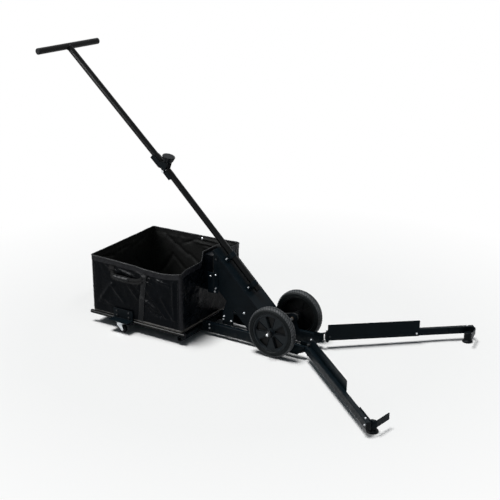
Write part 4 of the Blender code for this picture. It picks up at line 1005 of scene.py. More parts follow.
def tread_block(radius, half, settings, hand):
    """One chevron block, bent to the tyre's crown, at the top of the wheel."""
    verts, faces = [], []
    depth = settings.depth
    length = 0.70 * 2 * math.pi * radius / settings.blocks
    columns, rows = 6, 2
    for layer in (0, 1):
        for c in range(columns + 1):
            part = c / columns
            y = hand * (0.0014 + (half - 0.0040) * part)
            drop = 0.0002 + 0.0042 * part ** 3.2
            reach = radius - drop - (depth + 0.0006 if layer == 0 else 0.0)
            taper = 0.0009 if layer == 0 else 0.0
            for r in range(rows + 1):
                lean = 0.0052 * part + (0.0012 if part > 0.7 else 0.0)
                x = -length / 2 - taper + (length + 2 * taper) * r / rows + lean
                turn = x / radius
                verts.append((reach * math.sin(turn), y, reach * math.cos(turn)))
    layer_size = (columns + 1) * (rows + 1)
    for c in range(columns):
        for r in range(rows):
            a = c * (rows + 1) + r
            quad = (a, a + 1, a + rows + 2, a + rows + 1)
            faces.append(quad)
            faces.append(tuple(i + layer_size for i in reversed(quad)))
    for c in range(columns):
        for r in (0, rows):
            a, b = c * (rows + 1) + r, (c + 1) * (rows + 1) + r
            faces.append((a, b, b + layer_size, a + layer_size))
    for r in range(rows):
        for c in (0, columns):
            a = c * (rows + 1) + r
            faces.append((a, a + 1, a + 1 + layer_size, a + layer_size))
    return new_object("tread_block_helper", mesh_from("tread_block", verts, faces))


def tyres():
    """Both tyres with their two rows of chevron blocks."""
    settings = bpy.context.scene.ball_cart_tyres
    tree = ring_nodes()
    for side, sign in SIDES:
        centre, radius, half = tyre_carcass(side)
        for row, hand in (("outer", sign), ("inner", -sign)):
            block = tread_block(radius, half, settings, hand)
            name = f"tread_{row}_{side}"
            ring = new_object(name, bpy.data.meshes.new(name))
            phase = math.pi / settings.blocks if row == "inner" else 0.0
            values = {
                "Piece": block, "Count": settings.blocks, "Phase": phase,
                "Material": MATERIALS["worn_tread"],
            }
            ring = run_nodes(ring, tree, values)
            ring.data.transform(Matrix.Translation(centre))
            finish(ring, "wheelset", "worn_tread", "tread_rubber", 30)


def spoke_ribs(side, sign, tree):
    """Raised ribs along both edges of each fan spoke."""
    phase, half_angle = math.radians(-16), math.radians(19)
    for edge, turn in (("rising", half_angle), ("falling", -half_angle)):
        start, length, width, height = 0.0172, 0.0395, 0.0024, 0.0020
        verts = []
        for z in (-0.0004, height):
            inset = 0.0006 if z > 0 else 0.0
            for x, y in ((start, -1), (start + length, -1), (start + length, 1), (start, 1)):
                verts.append((x, sign * z, y * (width / 2 - inset)))
        faces = [(0, 1, 2, 3), (4, 5, 6, 7), (0, 1, 5, 4), (1, 2, 6, 5), (2, 3, 7, 6), (3, 0, 4, 7)]
        rib = new_object("rib_helper", mesh_from("rib", verts, faces))
        name = f"spoke_ribs_{edge}_{side}"
        ring = new_object(name, bpy.data.meshes.new(name))
        inward = turn * 0.93
        values = {
            "Piece": rib, "Count": 5, "Phase": -(phase + inward),
            "Material": MATERIALS["wheel_plastic"],
        }
        ring = run_nodes(ring, tree, values)
        ring.data.transform(Matrix.Translation((AXLE.x, sign * FAN_FACE, AXLE.z)))
        finish(ring, "wheelset", "wheel_plastic", "wheel_plastic", 30)


def hub_dressing(side, sign):
    """Moulded collar round the nut and a bright domed cap on the axle's end."""
    place = facing((AXLE.x, 0.0, AXLE.z), (0, sign, 0))
    collar = [
        (0.0128, 0.1072), (0.0134, 0.1080), (0.0130, 0.1105), (0.0122, 0.1112), (0.0112, 0.1108),
        (0.0108, 0.1072),
    ]
    name = f"hub_collar_{side}"
    mesh = turned_mesh(name, collar, place, 48)
    finish(new_object(name, mesh), "wheelset", "wheel_plastic", "wheel_plastic")
    dome = [
        (0.0, 0.1279), (0.0020, 0.1276), (0.0038, 0.1266), (0.0050, 0.1248), (0.0055, 0.1226),
        (0.0055, 0.1212), (0.0, 0.1212),
    ]
    name = f"axle_cap_{side}"
    mesh = turned_mesh(name, dome, place, 40)
    finish(new_object(name, mesh), "wheelset", "zinc_steel", "zinc_steel")


# Fasteners


def bolt_mesh(settings, stud):
    """Hexagon head with its washer, standing on local Z, and any stud through it."""
    shape = bmesh.new()
    washer = settings.head * 0.62
    bmesh.ops.create_cone(
        shape, cap_ends=True, segments=20, radius1=washer, radius2=washer * 0.96, depth=0.0009,
        matrix=Matrix.Translation((0, 0, 0.00045)),
    )
    flat = settings.head / math.sqrt(3)
    bmesh.ops.create_cone(
        shape, cap_ends=True, segments=6, radius1=flat, radius2=flat, depth=settings.height * 0.8,
        matrix=Matrix.Translation((0, 0, 0.0008 + settings.height * 0.4)),
    )
    bmesh.ops.create_cone(
        shape, cap_ends=True, segments=18, radius1=flat * 0.93, radius2=flat * 0.6,
        depth=settings.height * 0.24, matrix=Matrix.Translation((0, 0, 0.0008 + settings.height * 0.9)),
    )
    if stud > 0:
        bmesh.ops.create_cone(
            shape, cap_ends=True, segments=16, radius1=flat * 0.62, radius2=flat * 0.5,
            depth=stud, matrix=Matrix.Translation((0, 0, settings.height + stud / 2)),
        )
    mesh = bpy.data.meshes.new("bolt")
    shape.to_mesh(mesh)
    shape.free()
    return mesh


def arm_frame(sign):
    """Directions along an arm, out from it and up from it."""
    level = Vector((math.cos(ARM_ANGLE), sign * math.sin(ARM_ANGLE), 0.0))
    along = level * math.cos(ARM_FALL) - Vector((0.0, 0.0, math.sin(ARM_FALL)))
    outward = Vector((-math.sin(ARM_ANGLE), sign * math.cos(ARM_ANGLE), 0.0))
    up = level * math.sin(ARM_FALL) + Vector((0.0, 0.0, math.cos(ARM_FALL)))
    return along, outward, up


def arm_place(sign, u, v, w):
    """Point on an arm: along it, outward and up from its pivot's foot."""
    along, outward, up = arm_frame(sign)
    pivot = Vector((ARM_PIVOT.x, sign * ARM_PIVOT.y, ARM_PIVOT.z))
    return pivot + along * u + outward * v + up * w


def bolt_places():
    """Where every head sits: kind, body, point and the way that it faces."""
    rows = []
    for side, sign in SIDES:
        out = Vector((0.0, sign, 0.0))
        for x, z in PLATE_BOLTS:
            rows.append(("bolts", "chassis", Vector((AXLE.x + x, sign * 0.0445, z)), out))
        for x, z, y in HANGER_BOLTS:
            rows.append(("bolts", "chassis", Vector((AXLE.x + x, sign * y, z)), out))
        for x, z in BEAM_BOLTS:
            rows.append(("bolts", "chassis", Vector((AXLE.x + x, sign * 0.0630, z)), out))
        for along in CLAMP_STUDS:
            foot = COVER_ORIGIN + DOWN * along + SQUARE * 0.0028
            rows.append(("studs", "chassis", foot + Vector((0.0, sign * 0.0222, 0.0)), SQUARE))
        for x in BRACKET_BOLTS:
            rows.append(("bolts", "chassis", Vector((AXLE.x + x, sign * 0.0474, 0.0434)), out))
        for x in (-0.585, -0.532):
            for z in (0.0700, 0.0540):
                rows.append(("rivets", "chassis", Vector((AXLE.x + x, sign * 0.1898, z)), out))
        _, outward, up = arm_frame(sign)
        body = f"arm_{side}"
        rows.append(("bolts", body, arm_place(sign, 0.0060, -0.0078, 0.0520), outward))
        rows.append(("rivets", body, arm_place(sign, 0.0060, -0.0098, 0.0150), -outward))
        rows.append(("bolts", body, arm_place(sign, 0.3140, -0.0098, 0.0110), -outward))
        rows.append(("bolts", body, arm_place(sign, 0.4990, 0.0005, 0.0250), up))
        rows.append(("bolts", body, arm_place(sign, 0.5140, 0.0085, 0.0135), outward))
    return rows


def bolts():
    """Bolts, studs and blacked rivets, one mesh of each for a body that carries some."""
    settings = bpy.context.scene.ball_cart_fasteners
    tree = spread_nodes()
    places = {}
    for kind, body, point, way in bolt_places():
        places.setdefault((kind, body), []).append((point, way))
    for (kind, body), rows in places.items():
        name = f"{kind}_{body}"
        material = "black_oxide" if kind == "rivets" else "zinc_steel"
        mesh = bpy.data.meshes.new(name)
        mesh.from_pydata([tuple(point) for point, _ in rows], [], [])
        attribute = mesh.attributes.new("facing", "FLOAT_VECTOR", "POINT")
        for item, (_, way) in zip(attribute.data, rows):
            item.vector = way
        head = bolt_mesh(settings, settings.stud if kind == "studs" else 0.0)
        values = {
            "Piece": new_object("bolt_helper", head), "Turn": 6.28, "Seed": 4,
            "Material": MATERIALS[material],
        }
        obj = run_nodes(new_object(name, mesh), tree, values)
        finish(obj, body, material, "zinc_steel", 30)


def beam_plugs():
    """Moulded plugs in the open ends of the arm beams."""
    for side, sign in SIDES:
        along, outward, up = arm_frame(sign)
        middle = arm_place(sign, 0.521, 0.0005, 0.0125)
        shape = bmesh.new()
        bmesh.ops.create_cube(shape, size=1.0)
        bmesh.ops.scale(shape, verts=shape.verts, vec=(0.0158, 0.0248, 0.0022))
        bmesh.ops.bevel(
            shape, geom=shape.edges[:], offset=0.0009, segments=2, affect="EDGES", profile=0.5
        )
        place = basis(middle + along * 0.0008, outward, up, outward.cross(up))
        bmesh.ops.transform(shape, matrix=place, verts=shape.verts)
        bmesh.ops.recalc_face_normals(shape, faces=shape.faces)
        name = f"beam_plug_{side}"
        mesh = bpy.data.meshes.new(name)
        shape.to_mesh(mesh)
        shape.free()
        finish(new_object(name, mesh), f"arm_{side}", "knob_plastic", "knob_plastic")


# Basket


def side_lengths():
    """Length of each wall between its corner rounds, in the order walked."""
    long_wall = BASKET_FRONT - BASKET_REAR - 2 * CORNER_RADIUS
    short_wall = 2 * BASKET_HALF - 2 * CORNER_RADIUS
    return {"near": long_wall, "front": short_wall, "far": long_wall, "rear": short_wall}


def wall_frame(wall):
    """Start corner, direction walked and outward normal of each wall."""
    r = CORNER_RADIUS
    frames = {
        "near": ((BASKET_REAR + r, -BASKET_HALF), (1, 0), (0, -1)),
        "front": ((BASKET_FRONT, -BASKET_HALF + r), (0, 1), (1, 0)),
        "far": ((BASKET_FRONT - r, BASKET_HALF), (-1, 0), (0, 1)),
        "rear": ((BASKET_REAR, BASKET_HALF - r), (0, -1), (-1, 0)),
    }
    start, run, normal = frames[wall]
    return Vector((*start, 0)), Vector((*run, 0)), Vector((*normal, 0))


# Height of the rim at the start and end of each wall, as walked
RIM_CORNERS = {
    "near": (0.2572, 0.2582), "front": (0.2582, 0.2688), "far": (0.2688, 0.2638),
    "rear": (0.2638, 0.2572),
}


def rim_height(wall, s):
    """Height of the rim: it sags on the near side and is drawn up to the outlet in front."""
    start, end = RIM_CORNERS[wall]
    line = start + (end - start) * s
    if wall == "near":
        return line - 0.0104 * math.sin(math.pi * s ** 2.72)
    if wall != "front":
        return line
    y = abs(-BASKET_HALF + CORNER_RADIUS + s * side_lengths()["front"])
    shoulder = MOUTH_HALF + 0.004
    part = min(max((BASKET_HALF - y) / (BASKET_HALF - shoulder), 0.0), 1.0)
    level = line + (0.2660 - line) * ease(part, 0.0, 0.25) + 0.0035 * part
    return level + (BASKET_PEAK - level) * part ** 30


# Each fold: start (s, t), end (s, t), half width and height in millimetres.
# s runs along the wall as walked, t from its foot to its rim.
WALL_FOLDS = {
    "near": (
        (0.59, 0.44, 0.77, 0.28, 9, 5.0), (0.58, 0.17, 0.97, 0.03, 9, 4.6),
        (0.62, 0.66, 0.93, 0.06, 8, 3.8), (0.93, 0.86, 0.945, 0.08, 8, 3.4),
        (0.66, 0.30, 0.95, 0.05, 6, 3.2), (0.80, 0.55, 0.96, 0.12, 7, 2.8),
        (0.04, 0.14, 0.22, 0.56, 9, 3.2), (0.22, 0.56, 0.36, 0.30, 9, 2.8),
        (0.42, 0.62, 0.55, 0.40, 6, 3.2), (0.47, 0.70, 0.56, 0.58, 5, 2.6),
        (0.30, 0.86, 0.50, 0.80, 6, 3.2), (0.52, 0.90, 0.68, 0.83, 6, 3.6),
        (0.55, 0.80, 0.72, 0.74, 5, 2.6), (0.16, 0.88, 0.30, 0.80, 6, 2.6),
        (0.70, 0.88, 0.88, 0.80, 7, 2.4), (0.64, 0.12, 0.76, 0.20, 7, 2.4),
        (0.10, 0.30, 0.28, 0.12, 10, 1.8), (0.60, 0.02, 0.98, 0.015, 6, 2.4),
    ),
    "front": (
        (0.04, 0.92, 0.30, 0.60, 12, 2.4), (0.96, 0.92, 0.70, 0.60, 12, 2.4),
        (0.05, 0.10, 0.30, 0.40, 14, 2.0), (0.95, 0.10, 0.70, 0.40, 14, 2.0),
        (0.10, 0.55, 0.32, 0.52, 10, 1.6), (0.90, 0.50, 0.68, 0.54, 10, 1.6),
    ),
    "far": (
        (0.06, 0.93, 0.46, 0.95, 5, -4.2), (0.10, 0.85, 0.52, 0.87, 5, -3.8),
        (0.05, 0.76, 0.40, 0.80, 6, -3.0), (0.03, 0.10, 0.34, 0.46, 9, 4.4),
        (0.05, 0.05, 0.40, 0.16, 8, 4.0), (0.40, 0.40, 0.58, 0.62, 8, 3.4),
        (0.60, 0.60, 0.84, 0.88, 9, 3.0), (0.96, 0.12, 0.78, 0.55, 10, 3.0),
        (0.78, 0.55, 0.62, 0.30, 9, 2.6), (0.06, 0.50, 0.10, 0.88, 8, 3.0),
        (0.50, 0.90, 0.64, 0.80, 6, 3.0),
    ),
    "rear": (
        (0.04, 0.08, 0.30, 0.55, 10, 3.2), (0.96, 0.08, 0.72, 0.52, 10, 3.2),
        (0.30, 0.55, 0.50, 0.40, 9, 2.4), (0.50, 0.40, 0.72, 0.52, 9, 2.4),
        (0.10, 0.90, 0.34, 0.78, 7, 3.0), (0.90, 0.88, 0.64, 0.80, 7, 2.8),
        (0.40, 0.86, 0.60, 0.84, 6, 2.4), (0.20, 0.20, 0.45, 0.12, 9, 2.0),
    ),
}
WALL_SEED = {"near": 3.0, "front": 11.0, "far": 23.0, "rear": 37.0}


def ease(value, low, high):
    """Smooth step from 0 at low to 1 at high."""
    part = min(max((value - low) / (high - low), 0.0), 1.0)
    return part * part * (3 - 2 * part)


def fold_height(wall, s, t):
    """How far the cloth stands out from its flat wall, in metres."""
    width = side_lengths()[wall]
    tall = BASKET_RIM - BASKET_BOTTOM
    total = 0.0
    for s0, t0, s1, t1, half, height in WALL_FOLDS[wall]:
        ax, ay, bx, by = s0 * width, t0 * tall, s1 * width, t1 * tall
        dx, dy = bx - ax, by - ay
        reach = (s * width - ax) * dx + (t * tall - ay) * dy
        part = min(max(reach / (dx * dx + dy * dy), 0.0), 1.0)
        gap = math.hypot(s * width - ax - dx * part, t * tall - ay - dy * part)
        taper = 0.45 + 0.55 * math.sin(math.pi * min(max(part, 0.02), 0.98))
        total += 0.0015 * height * taper * math.exp(-(gap * 1000 / half) ** 2 * 1.6)
    place = Vector((s * width * 22 + WALL_SEED[wall], t * tall * 22, 0.0))
    total += 0.0011 * noise.noise(place)
    place = Vector((s * width * 70, t * tall * 48, WALL_SEED[wall]))
    near_hem = math.exp(-((t - 0.86) / 0.10) ** 2)
    total += (0.0005 + 0.0013 * near_hem) * noise.noise(place)
    bow = 0.0022 * math.sin(math.pi * s) * math.sin(math.pi * min(t * 1.05, 1.0))
    total += bow
    quiet_ends = ease(s, 0.0, 0.035) * ease(1 - s, 0.0, 0.035)
    quiet_foot = ease(t, 0.0, 0.05)
    if wall == "front":
        y = -BASKET_HALF + CORNER_RADIUS + s * width
        quiet_ends *= ease(abs(y), MOUTH_HALF + 0.002, MOUTH_HALF + 0.040)
    return total * quiet_ends * quiet_foot


def basket_point(wall, s, t, lift=0.0):
    """Point on a wall of the basket at a share of its length and height."""
    settings = bpy.context.scene.ball_cart_basket
    start, run, normal = wall_frame(wall)
    top = rim_height(wall, s)
    z = BASKET_BOTTOM + (top - BASKET_BOTTOM) * t
    out = fold_height(wall, s, t)
    if z < HELD_FLAT_BELOW:
        out = min(out, HELD_FLAT_BULGE)
    out = max(min(out, CREASE_LIMIT), -CREASE_LIMIT)
    hem_edge = 1 - settings.hem / (top - BASKET_BOTTOM)
    out += 0.0012 * ease(t, hem_edge, hem_edge + 0.008)
    sag = 0.0012 * math.sin(math.pi * s) + 0.0007 * noise.noise(Vector((s * 9, 0, WALL_SEED[wall])))
    point = start + run * (side_lengths()[wall] * s) + normal * (out + lift)
    point.z = z - sag * ease(t, 0.6, 1.0) * (0.4 if wall == "front" else 1.0)
    return point


def basket_columns():
    """Every upright line of the basket's cloth, walked round from the rear corner."""
    columns = []
    marks = {"front": [-MOUTH_HALF, MOUTH_HALF]}
    for wall, length in side_lengths().items():
        count = int(length / 0.0036)
        shares = [i / count for i in range(count + 1)]
        for y in marks.get(wall, []):
            share = (y + BASKET_HALF - CORNER_RADIUS) / length
            nearest = min(range(1, count), key=lambda i: abs(shares[i] - share))
            shares[nearest] = share
        columns += [(wall, s, None) for s in shares]
        columns += [(wall, 1.0, turn) for turn in (0.25, 0.5, 0.75)]
    return columns


def corner_point(wall, turn, t, lift=0.0):
    """Point on the round corner after a wall, turn being 0 to 1 of its bend."""
    edge = basket_point(wall, 1.0, t)
    _, run, normal = wall_frame(wall)
    centre = edge - normal * CORNER_RADIUS
    angle = turn * math.pi / 2
    reach = CORNER_RADIUS + lift
    point = centre + normal * reach * math.cos(angle) + run * reach * math.sin(angle)
    point.z = edge.z
    return point


def column_point(column, t, lift=0.0):
    """Point on any column of the cloth."""
    wall, s, turn = column
    if turn is None:
        return basket_point(wall, s, t, lift)
    return corner_point(wall, turn, t, lift)


def basket_cloth():
    """The sewn bag: four creased walls, its floor and the sleeve at the outlet."""
    settings = bpy.context.scene.ball_cart_basket
    columns = basket_columns()
    tall = BASKET_PEAK - BASKET_BOTTOM
    low_t = (MOUTH_LOW - BASKET_BOTTOM) / tall
    high_t = (MOUTH_HIGH - BASKET_BOTTOM) / tall
    count = 60
    rows = [i / count for i in range(count + 1)]
    for mark in (low_t, high_t):
        nearest = min(range(1, count), key=lambda i: abs(rows[i] - mark))
        rows[nearest] = mark
    verts = [column_point(column, t) for column in columns for t in rows]
    size = len(rows)
    faces = []
    for i, column in enumerate(columns):
        j = (i + 1) % len(columns)
        middle = (verts[i * size].y + verts[j * size].y) / 2
        by_mouth = column[0] == "front" and column[2] is None and abs(middle) < MOUTH_HALF
        for k in range(size - 1):
            if by_mouth and low_t - 0.001 < (rows[k] + rows[k + 1]) / 2 < high_t + 0.001:
                continue
            faces.append((i * size + k, j * size + k, j * size + k + 1, i * size + k + 1))
    faces.append(tuple(i * size for i in reversed(range(len(columns)))))
    mesh = bpy.data.meshes.new("basket_cloth")
    mesh.from_pydata([tuple(v) for v in verts], [], faces)
    shape = bmesh.new()
    shape.from_mesh(mesh)
    bmesh.ops.remove_doubles(shape, verts=shape.verts, dist=0.00001)
    bmesh.ops.recalc_face_normals(shape, faces=shape.faces)
    mouth = [
        edge for edge in shape.edges
        if edge.is_boundary and all(
            abs(v.co.y) < MOUTH_HALF + 0.0003 and v.co.x > BASKET_FRONT - 0.01
            and v.co.z < MOUTH_HIGH + 0.001 for v in edge.verts
        )
    ]
    for step in (0.010, 0.014, 0.0135):
        made = bmesh.ops.extrude_edge_only(shape, edges=mouth)
        new_verts = [item for item in made["geom"] if isinstance(item, bmesh.types.BMVert)]
        bmesh.ops.translate(shape, verts=new_verts, vec=(step, 0.0, 0.0))
        mouth = [
            item for item in made["geom"]
            if isinstance(item, bmesh.types.BMEdge) and item.is_boundary
        ]
    shape.to_mesh(mesh)
    shape.free()
    obj = new_object("basket_cloth", mesh)
    for name in ("coated_nylon", "lining"):
        mesh.materials.append(MATERIALS[name])
    thick = obj.modifiers.new("cloth", "SOLIDIFY")
    thick.thickness = settings.cloth
    thick.offset = -1.0
    thick.material_offset = 1
    obj = plain(obj)
    obj.data.shade_smooth()
    obj.data.set_sharp_from_angle(angle=math.radians(60))
    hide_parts("basket_shell")
    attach(obj, "basket")


def thinned(path):
    """Points of a closed path without those that lie on the one before."""
    return [p for i, p in enumerate(path) if (p - path[i - 1]).length > 0.0004]


def rim_path(lift, drop):
    """Points round the rim, lifted outwards and let down from its top."""
    path = []
    for column in basket_columns():
        point = column_point(column, 1.0, lift)
        point.z -= drop
        path.append(point)
    return thinned(path)


def level_path(t, lift, raised=0.0):
    """Points round the basket at a share of each wall's height."""
    path = []
    for column in basket_columns():
        point = column_point(column, t, lift)
        point.z += raised
        path.append(point)
    return thinned(path)


def basket_seams():
    """Corded rim and the rolled seam round the foot."""
    settings = bpy.context.scene.ball_cart_basket
    up = Vector((0.0, 0.0, 1.0))
    rim = rim_path(-0.0004, 0.0012)
    mesh = sweep_mesh(
        "basket_rim_cord", rim, round_profile(settings.piping * 1.15, 10), [up] * len(rim), True
    )
    finish(new_object("basket_rim_cord", mesh), "basket", "binding", "coated_nylon", 60)
    foot = level_path(0.0, -0.0016, 0.0035)
    swells = [foot_swell(point) for point in foot]
    mesh = sweep_mesh(
        "basket_foot_roll", foot, round_profile(0.0047, 12), [up] * len(foot), True, swells
    )
    # The foot roll's lighter colour is partly dust and partly painted light.
    finish(new_object("basket_foot_roll", mesh), "basket", "foot_tape_dust_and_painted_light", "coated_nylon", 60)


def foot_swell(point):
    """Share of the foot roll's full thickness: pinched beside a caster plate and at the rear."""
    plate_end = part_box("caster_plate_right")[1].x
    full = ease(point.x, plate_end + 0.006, plate_end + 0.040)
    if abs(point.y) < BASKET_HALF - 0.004:
        full = ease(point.x, BASKET_FRONT - 0.02, BASKET_FRONT - 0.005)
    ripple = 0.06 * noise.noise(point * 60)
    return 0.45 + 0.55 * full + ripple


def taped_strip(name, rows, closed):
    """Thin tape from rows of points, its outer face in the rows' places."""
    size, verts, faces = len(rows[0]), [p for row in rows for p in row], []
    for i in range(len(rows) if closed else len(rows) - 1):
        j = (i + 1) % len(rows)
        for k in range(size - 1):
            faces.append((i * size + k, j * size + k, j * size + k + 1, i * size + k + 1))
    mesh = bpy.data.meshes.new(name)
    mesh.from_pydata([tuple(v) for v in verts], [], faces)
    shape = bmesh.new()
    shape.from_mesh(mesh)
    bmesh.ops.remove_doubles(shape, verts=shape.verts, dist=0.00001)
    shape.to_mesh(mesh)
    shape.free()
    obj = new_object(name, mesh)
    thick = obj.modifiers.new("tape", "SOLIDIFY")
    thick.thickness = 0.0008
    thick.offset = -1.0
    obj = plain(obj)
    return finish(obj, "basket", "hem_tape", "coated_nylon", 60)


def hem_tapes():
    """Tape round the rim, puckered at its seam, and a strip round each corner."""
    settings = bpy.context.scene.ball_cart_basket
    rows = []
    for column in basket_columns():
        tall = rim_height(column[0], column[1]) - BASKET_BOTTOM
        row = []
        for part in (1.0, 0.8, 0.6, 0.4, 0.2, 0.0):
            t = 1 - (0.0006 + part * (settings.hem - 0.001)) / tall
            flat = column_point(column, t)
            pucker = noise.noise(Vector((flat.x * 130, flat.y * 130, part * 2.4)))
            lift = 0.0010 + 0.0009 * pucker * math.sin(math.pi * part)
            row.append(column_point(column, t, lift))
        rows.append(row)
    taped_strip("basket_rim_tape", rows, True)
    walls = list(side_lengths())
    for wall, following in zip(walls, walls[1:] + walls[:1]):
        edges = [(wall, 1 - 0.0016 / side_lengths()[wall], None)]
        edges += [(wall, 1.0, turn) for turn in (0.0, 0.25, 0.5, 0.75, 1.0)]
        edges += [(following, 0.0016 / side_lengths()[following], None)]
        rows = []
        for column in edges:
            row = []
            for i in range(61):
                t = 0.03 + 0.89 * i / 60
                pucker = noise.noise(Vector((i * 0.35, (column[2] or 0.0) * 2, 7.0)))
                row.append(column_point(column, t, 0.0010 + 0.0004 * pucker))
            rows.append(row)
        taped_strip(f"basket_corner_tape_{wall}", rows, False)


def wall_share(wall, x):
    """Share of a long wall's length at a place along X."""
    span = side_lengths()[wall]
    if wall == "near":
        return (x - BASKET_REAR - CORNER_RADIUS) / span
    return (BASKET_FRONT - CORNER_RADIUS - x) / span


def upright_bands():
    """Webbing band sewn up each long wall below its carry handle."""
    settings = bpy.context.scene.ball_cart_basket
    for wall, side in (("near", "right"), ("far", "left")):
        path, hints = [], []
        for i in range(41):
            part = i / 40
            x = BAND_FOOT_X + BAND_LEAN * part
            t = BAND_START + BAND_REACH * part
            wobble = 0.0010 * noise.noise(Vector((part * 7, 2.0, 0.0)))
            path.append(basket_point(wall, wall_share(wall, x + wobble), t, 0.0012))
            hints.append(wall_frame(wall)[2])
        name = f"upright_band_{side}"
        mesh = sweep_mesh(name, path, strap_profile(settings.band, 0.0016), hints)
        finish(new_object(name, mesh), "basket", "binding", "webbing", 50)


def carry_handles():
    """Doubled webbing handles with a wrapped grip, hanging against the long walls."""
    for wall, side, sign in (("near", "right", -1), ("far", "left", 1)):
        strands = {
            "upper": (
                (-0.6045, 0.1862, 0.2235), (-0.6005, 0.1885, 0.2120), (-0.5940, 0.1915, 0.2040),
                (-0.5800, 0.1930, 0.2025), (-0.5570, 0.1935, 0.2035), (-0.5330, 0.1930, 0.2025),
                (-0.5120, 0.1925, 0.2015), (-0.4930, 0.1905, 0.2030), (-0.4790, 0.1885, 0.2065),
                (-0.4700, 0.1868, 0.2120),
            ),
            "lower": (
                (-0.6030, 0.1858, 0.2170), (-0.6010, 0.1900, 0.2050), (-0.5930, 0.1955, 0.1960),
                (-0.5790, 0.1960, 0.1925), (-0.5560, 0.1965, 0.1920), (-0.5320, 0.1960, 0.1925),
                (-0.5100, 0.1950, 0.1930), (-0.4920, 0.1935, 0.1935), (-0.4780, 0.1905, 0.1965),
                (-0.4700, 0.1870, 0.2010),
            ),
        }
        for strand, points in strands.items():
            path = smooth_path([(AXLE.x + x, sign * y, z) for x, y, z in points], 8)
            hints = []
            for i, _ in enumerate(path):
                roll = math.radians(28 + 14 * math.sin(i * 0.16))
                hints.append(Vector((0.0, sign * math.cos(roll), math.sin(roll))))
            name = f"carry_strand_{strand}_{side}"
            mesh = sweep_mesh(name, path, strap_profile(0.0115, 0.0030), hints)
            piece = finish(new_object(name, mesh), "basket", "webbing", "webbing", 50)
            if strand == "upper":
                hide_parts(f"carry_handle_{side}")
        grip_path = smooth_path(
            [(AXLE.x + x, sign * y, z) for x, y, z in (
                (-0.5935, 0.1938, 0.1992), (-0.5760, 0.1948, 0.1974), (-0.5560, 0.1950, 0.1972),
                (-0.5370, 0.1948, 0.1974), (-0.5212, 0.1940, 0.1976),
            )], 12,
        )
        rings = []
        out = Vector((0.0, float(sign), 0.0))
        for i, point in enumerate(grip_path):
            part = i / (len(grip_path) - 1)
            swell = 0.90 + 0.14 * math.sin(math.pi * part) - 0.07 * (0.5 + 0.5 * math.cos(26 * part))
            rings.append(swell)
        name = f"carry_grip_{side}"
        mesh = grip_mesh(name, grip_path, rings, out)
        finish(new_object(name, mesh), "basket", "binding", "webbing", 60)
        anchor_patches(wall, side)


def grip_mesh(name, path, swells, out):
    """Padded cloth wrap: an oval section that swells and pinches along the grip."""
    sides = 18
    verts, faces = [], []
    for i, (point, swell) in enumerate(zip(path, swells)):
        end = min(i, len(path) - 1 - i)
        close = 0.72 + 0.28 * min(end / 4, 1.0)
        for k in range(sides):
            turn = 2 * math.pi * k / sides
            rise = 0.0098 * swell * close * math.sin(turn)
            side = 0.0058 * swell * close * math.cos(turn)
            verts.append(point + Vector((0.0, 0.0, rise)) + out * side)
    for i in range(len(path) - 1):
        for k in range(sides):
            m = (k + 1) % sides
            faces.append((i * sides + k, i * sides + m, (i + 1) * sides + m, (i + 1) * sides + k))
    faces.append(tuple(range(sides)))
    faces.append(tuple(range((len(path) - 1) * sides, len(path) * sides)))
    return mesh_from(name, verts, faces)


def anchor_patches(wall, side):
    """Sewn patch where the handle's rear end meets the wall."""
    path, hints = [], []
    for i in range(9):
        share = 0.790 + 0.110 * i / 8
        path.append(basket_point(wall, wall_share(wall, AXLE.x - 0.6050), share, 0.0014))
        hints.append(wall_frame(wall)[2])
    name = f"anchor_patch_{side}"
    mesh = sweep_mesh(name, path, strap_profile(0.024, 0.0018), hints)
    finish(new_object(name, mesh), "basket", "webbing", "webbing", 50)


def rim_rivets():
    """Tubular rivets through the hem of each long wall, closed on the inside."""
    profile = [
        (0.0, 0.0004), (0.0012, 0.0004), (0.0018, 0.0014), (0.0030, 0.0015),
        (0.0042, 0.0009), (0.0046, 0.0), (0.0, 0.0),
    ]
    for wall, side in (("near", "right"), ("far", "left")):
        way = -wall_frame(wall)[2]
        point = basket_point(wall, wall_share(wall, AXLE.x - 0.4694), 0.955) + way * 0.0013
        name = f"rim_rivet_{side}"
        mesh = turned_mesh(name, profile, facing(point, way), 24)
        finish(new_object(name, mesh), "basket", "zinc_steel", "zinc_steel")


def base_board():
    """Stiff board in the basket's floor, with its cloth drawn over it."""
    low_x, high_x = BASKET_REAR + 0.009, BASKET_FRONT - 0.009
    half = BASKET_HALF - 0.009
    nx, ny = 44, 40
    verts, faces = [], []
    for i in range(nx + 1):
        for j in range(ny + 1):
            x = low_x + (high_x - low_x) * i / nx
            y = -half + 2 * half * j / ny
            edge = min(x - low_x, high_x - x, half - abs(y))
            roll = 0.0022 * ease(edge, 0.0, 0.006)
            ripple = 0.0004 * noise.noise(Vector((x * 26, y * 26, 8.0)))
            verts.append((x, y, BASKET_BOTTOM + 0.0014 + roll + ripple))
    for i in range(nx):
        for j in range(ny):
            a = i * (ny + 1) + j
            faces.append((a, a + ny + 1, a + ny + 2, a + 1))
    obj = new_object("basket_base_board", mesh_from("basket_base_board", verts, faces))
    thick = obj.modifiers.new("board", "SOLIDIFY")
    thick.thickness = 0.001
    obj = plain(obj)
    finish(obj, "basket", "board", "coated_nylon", 60)


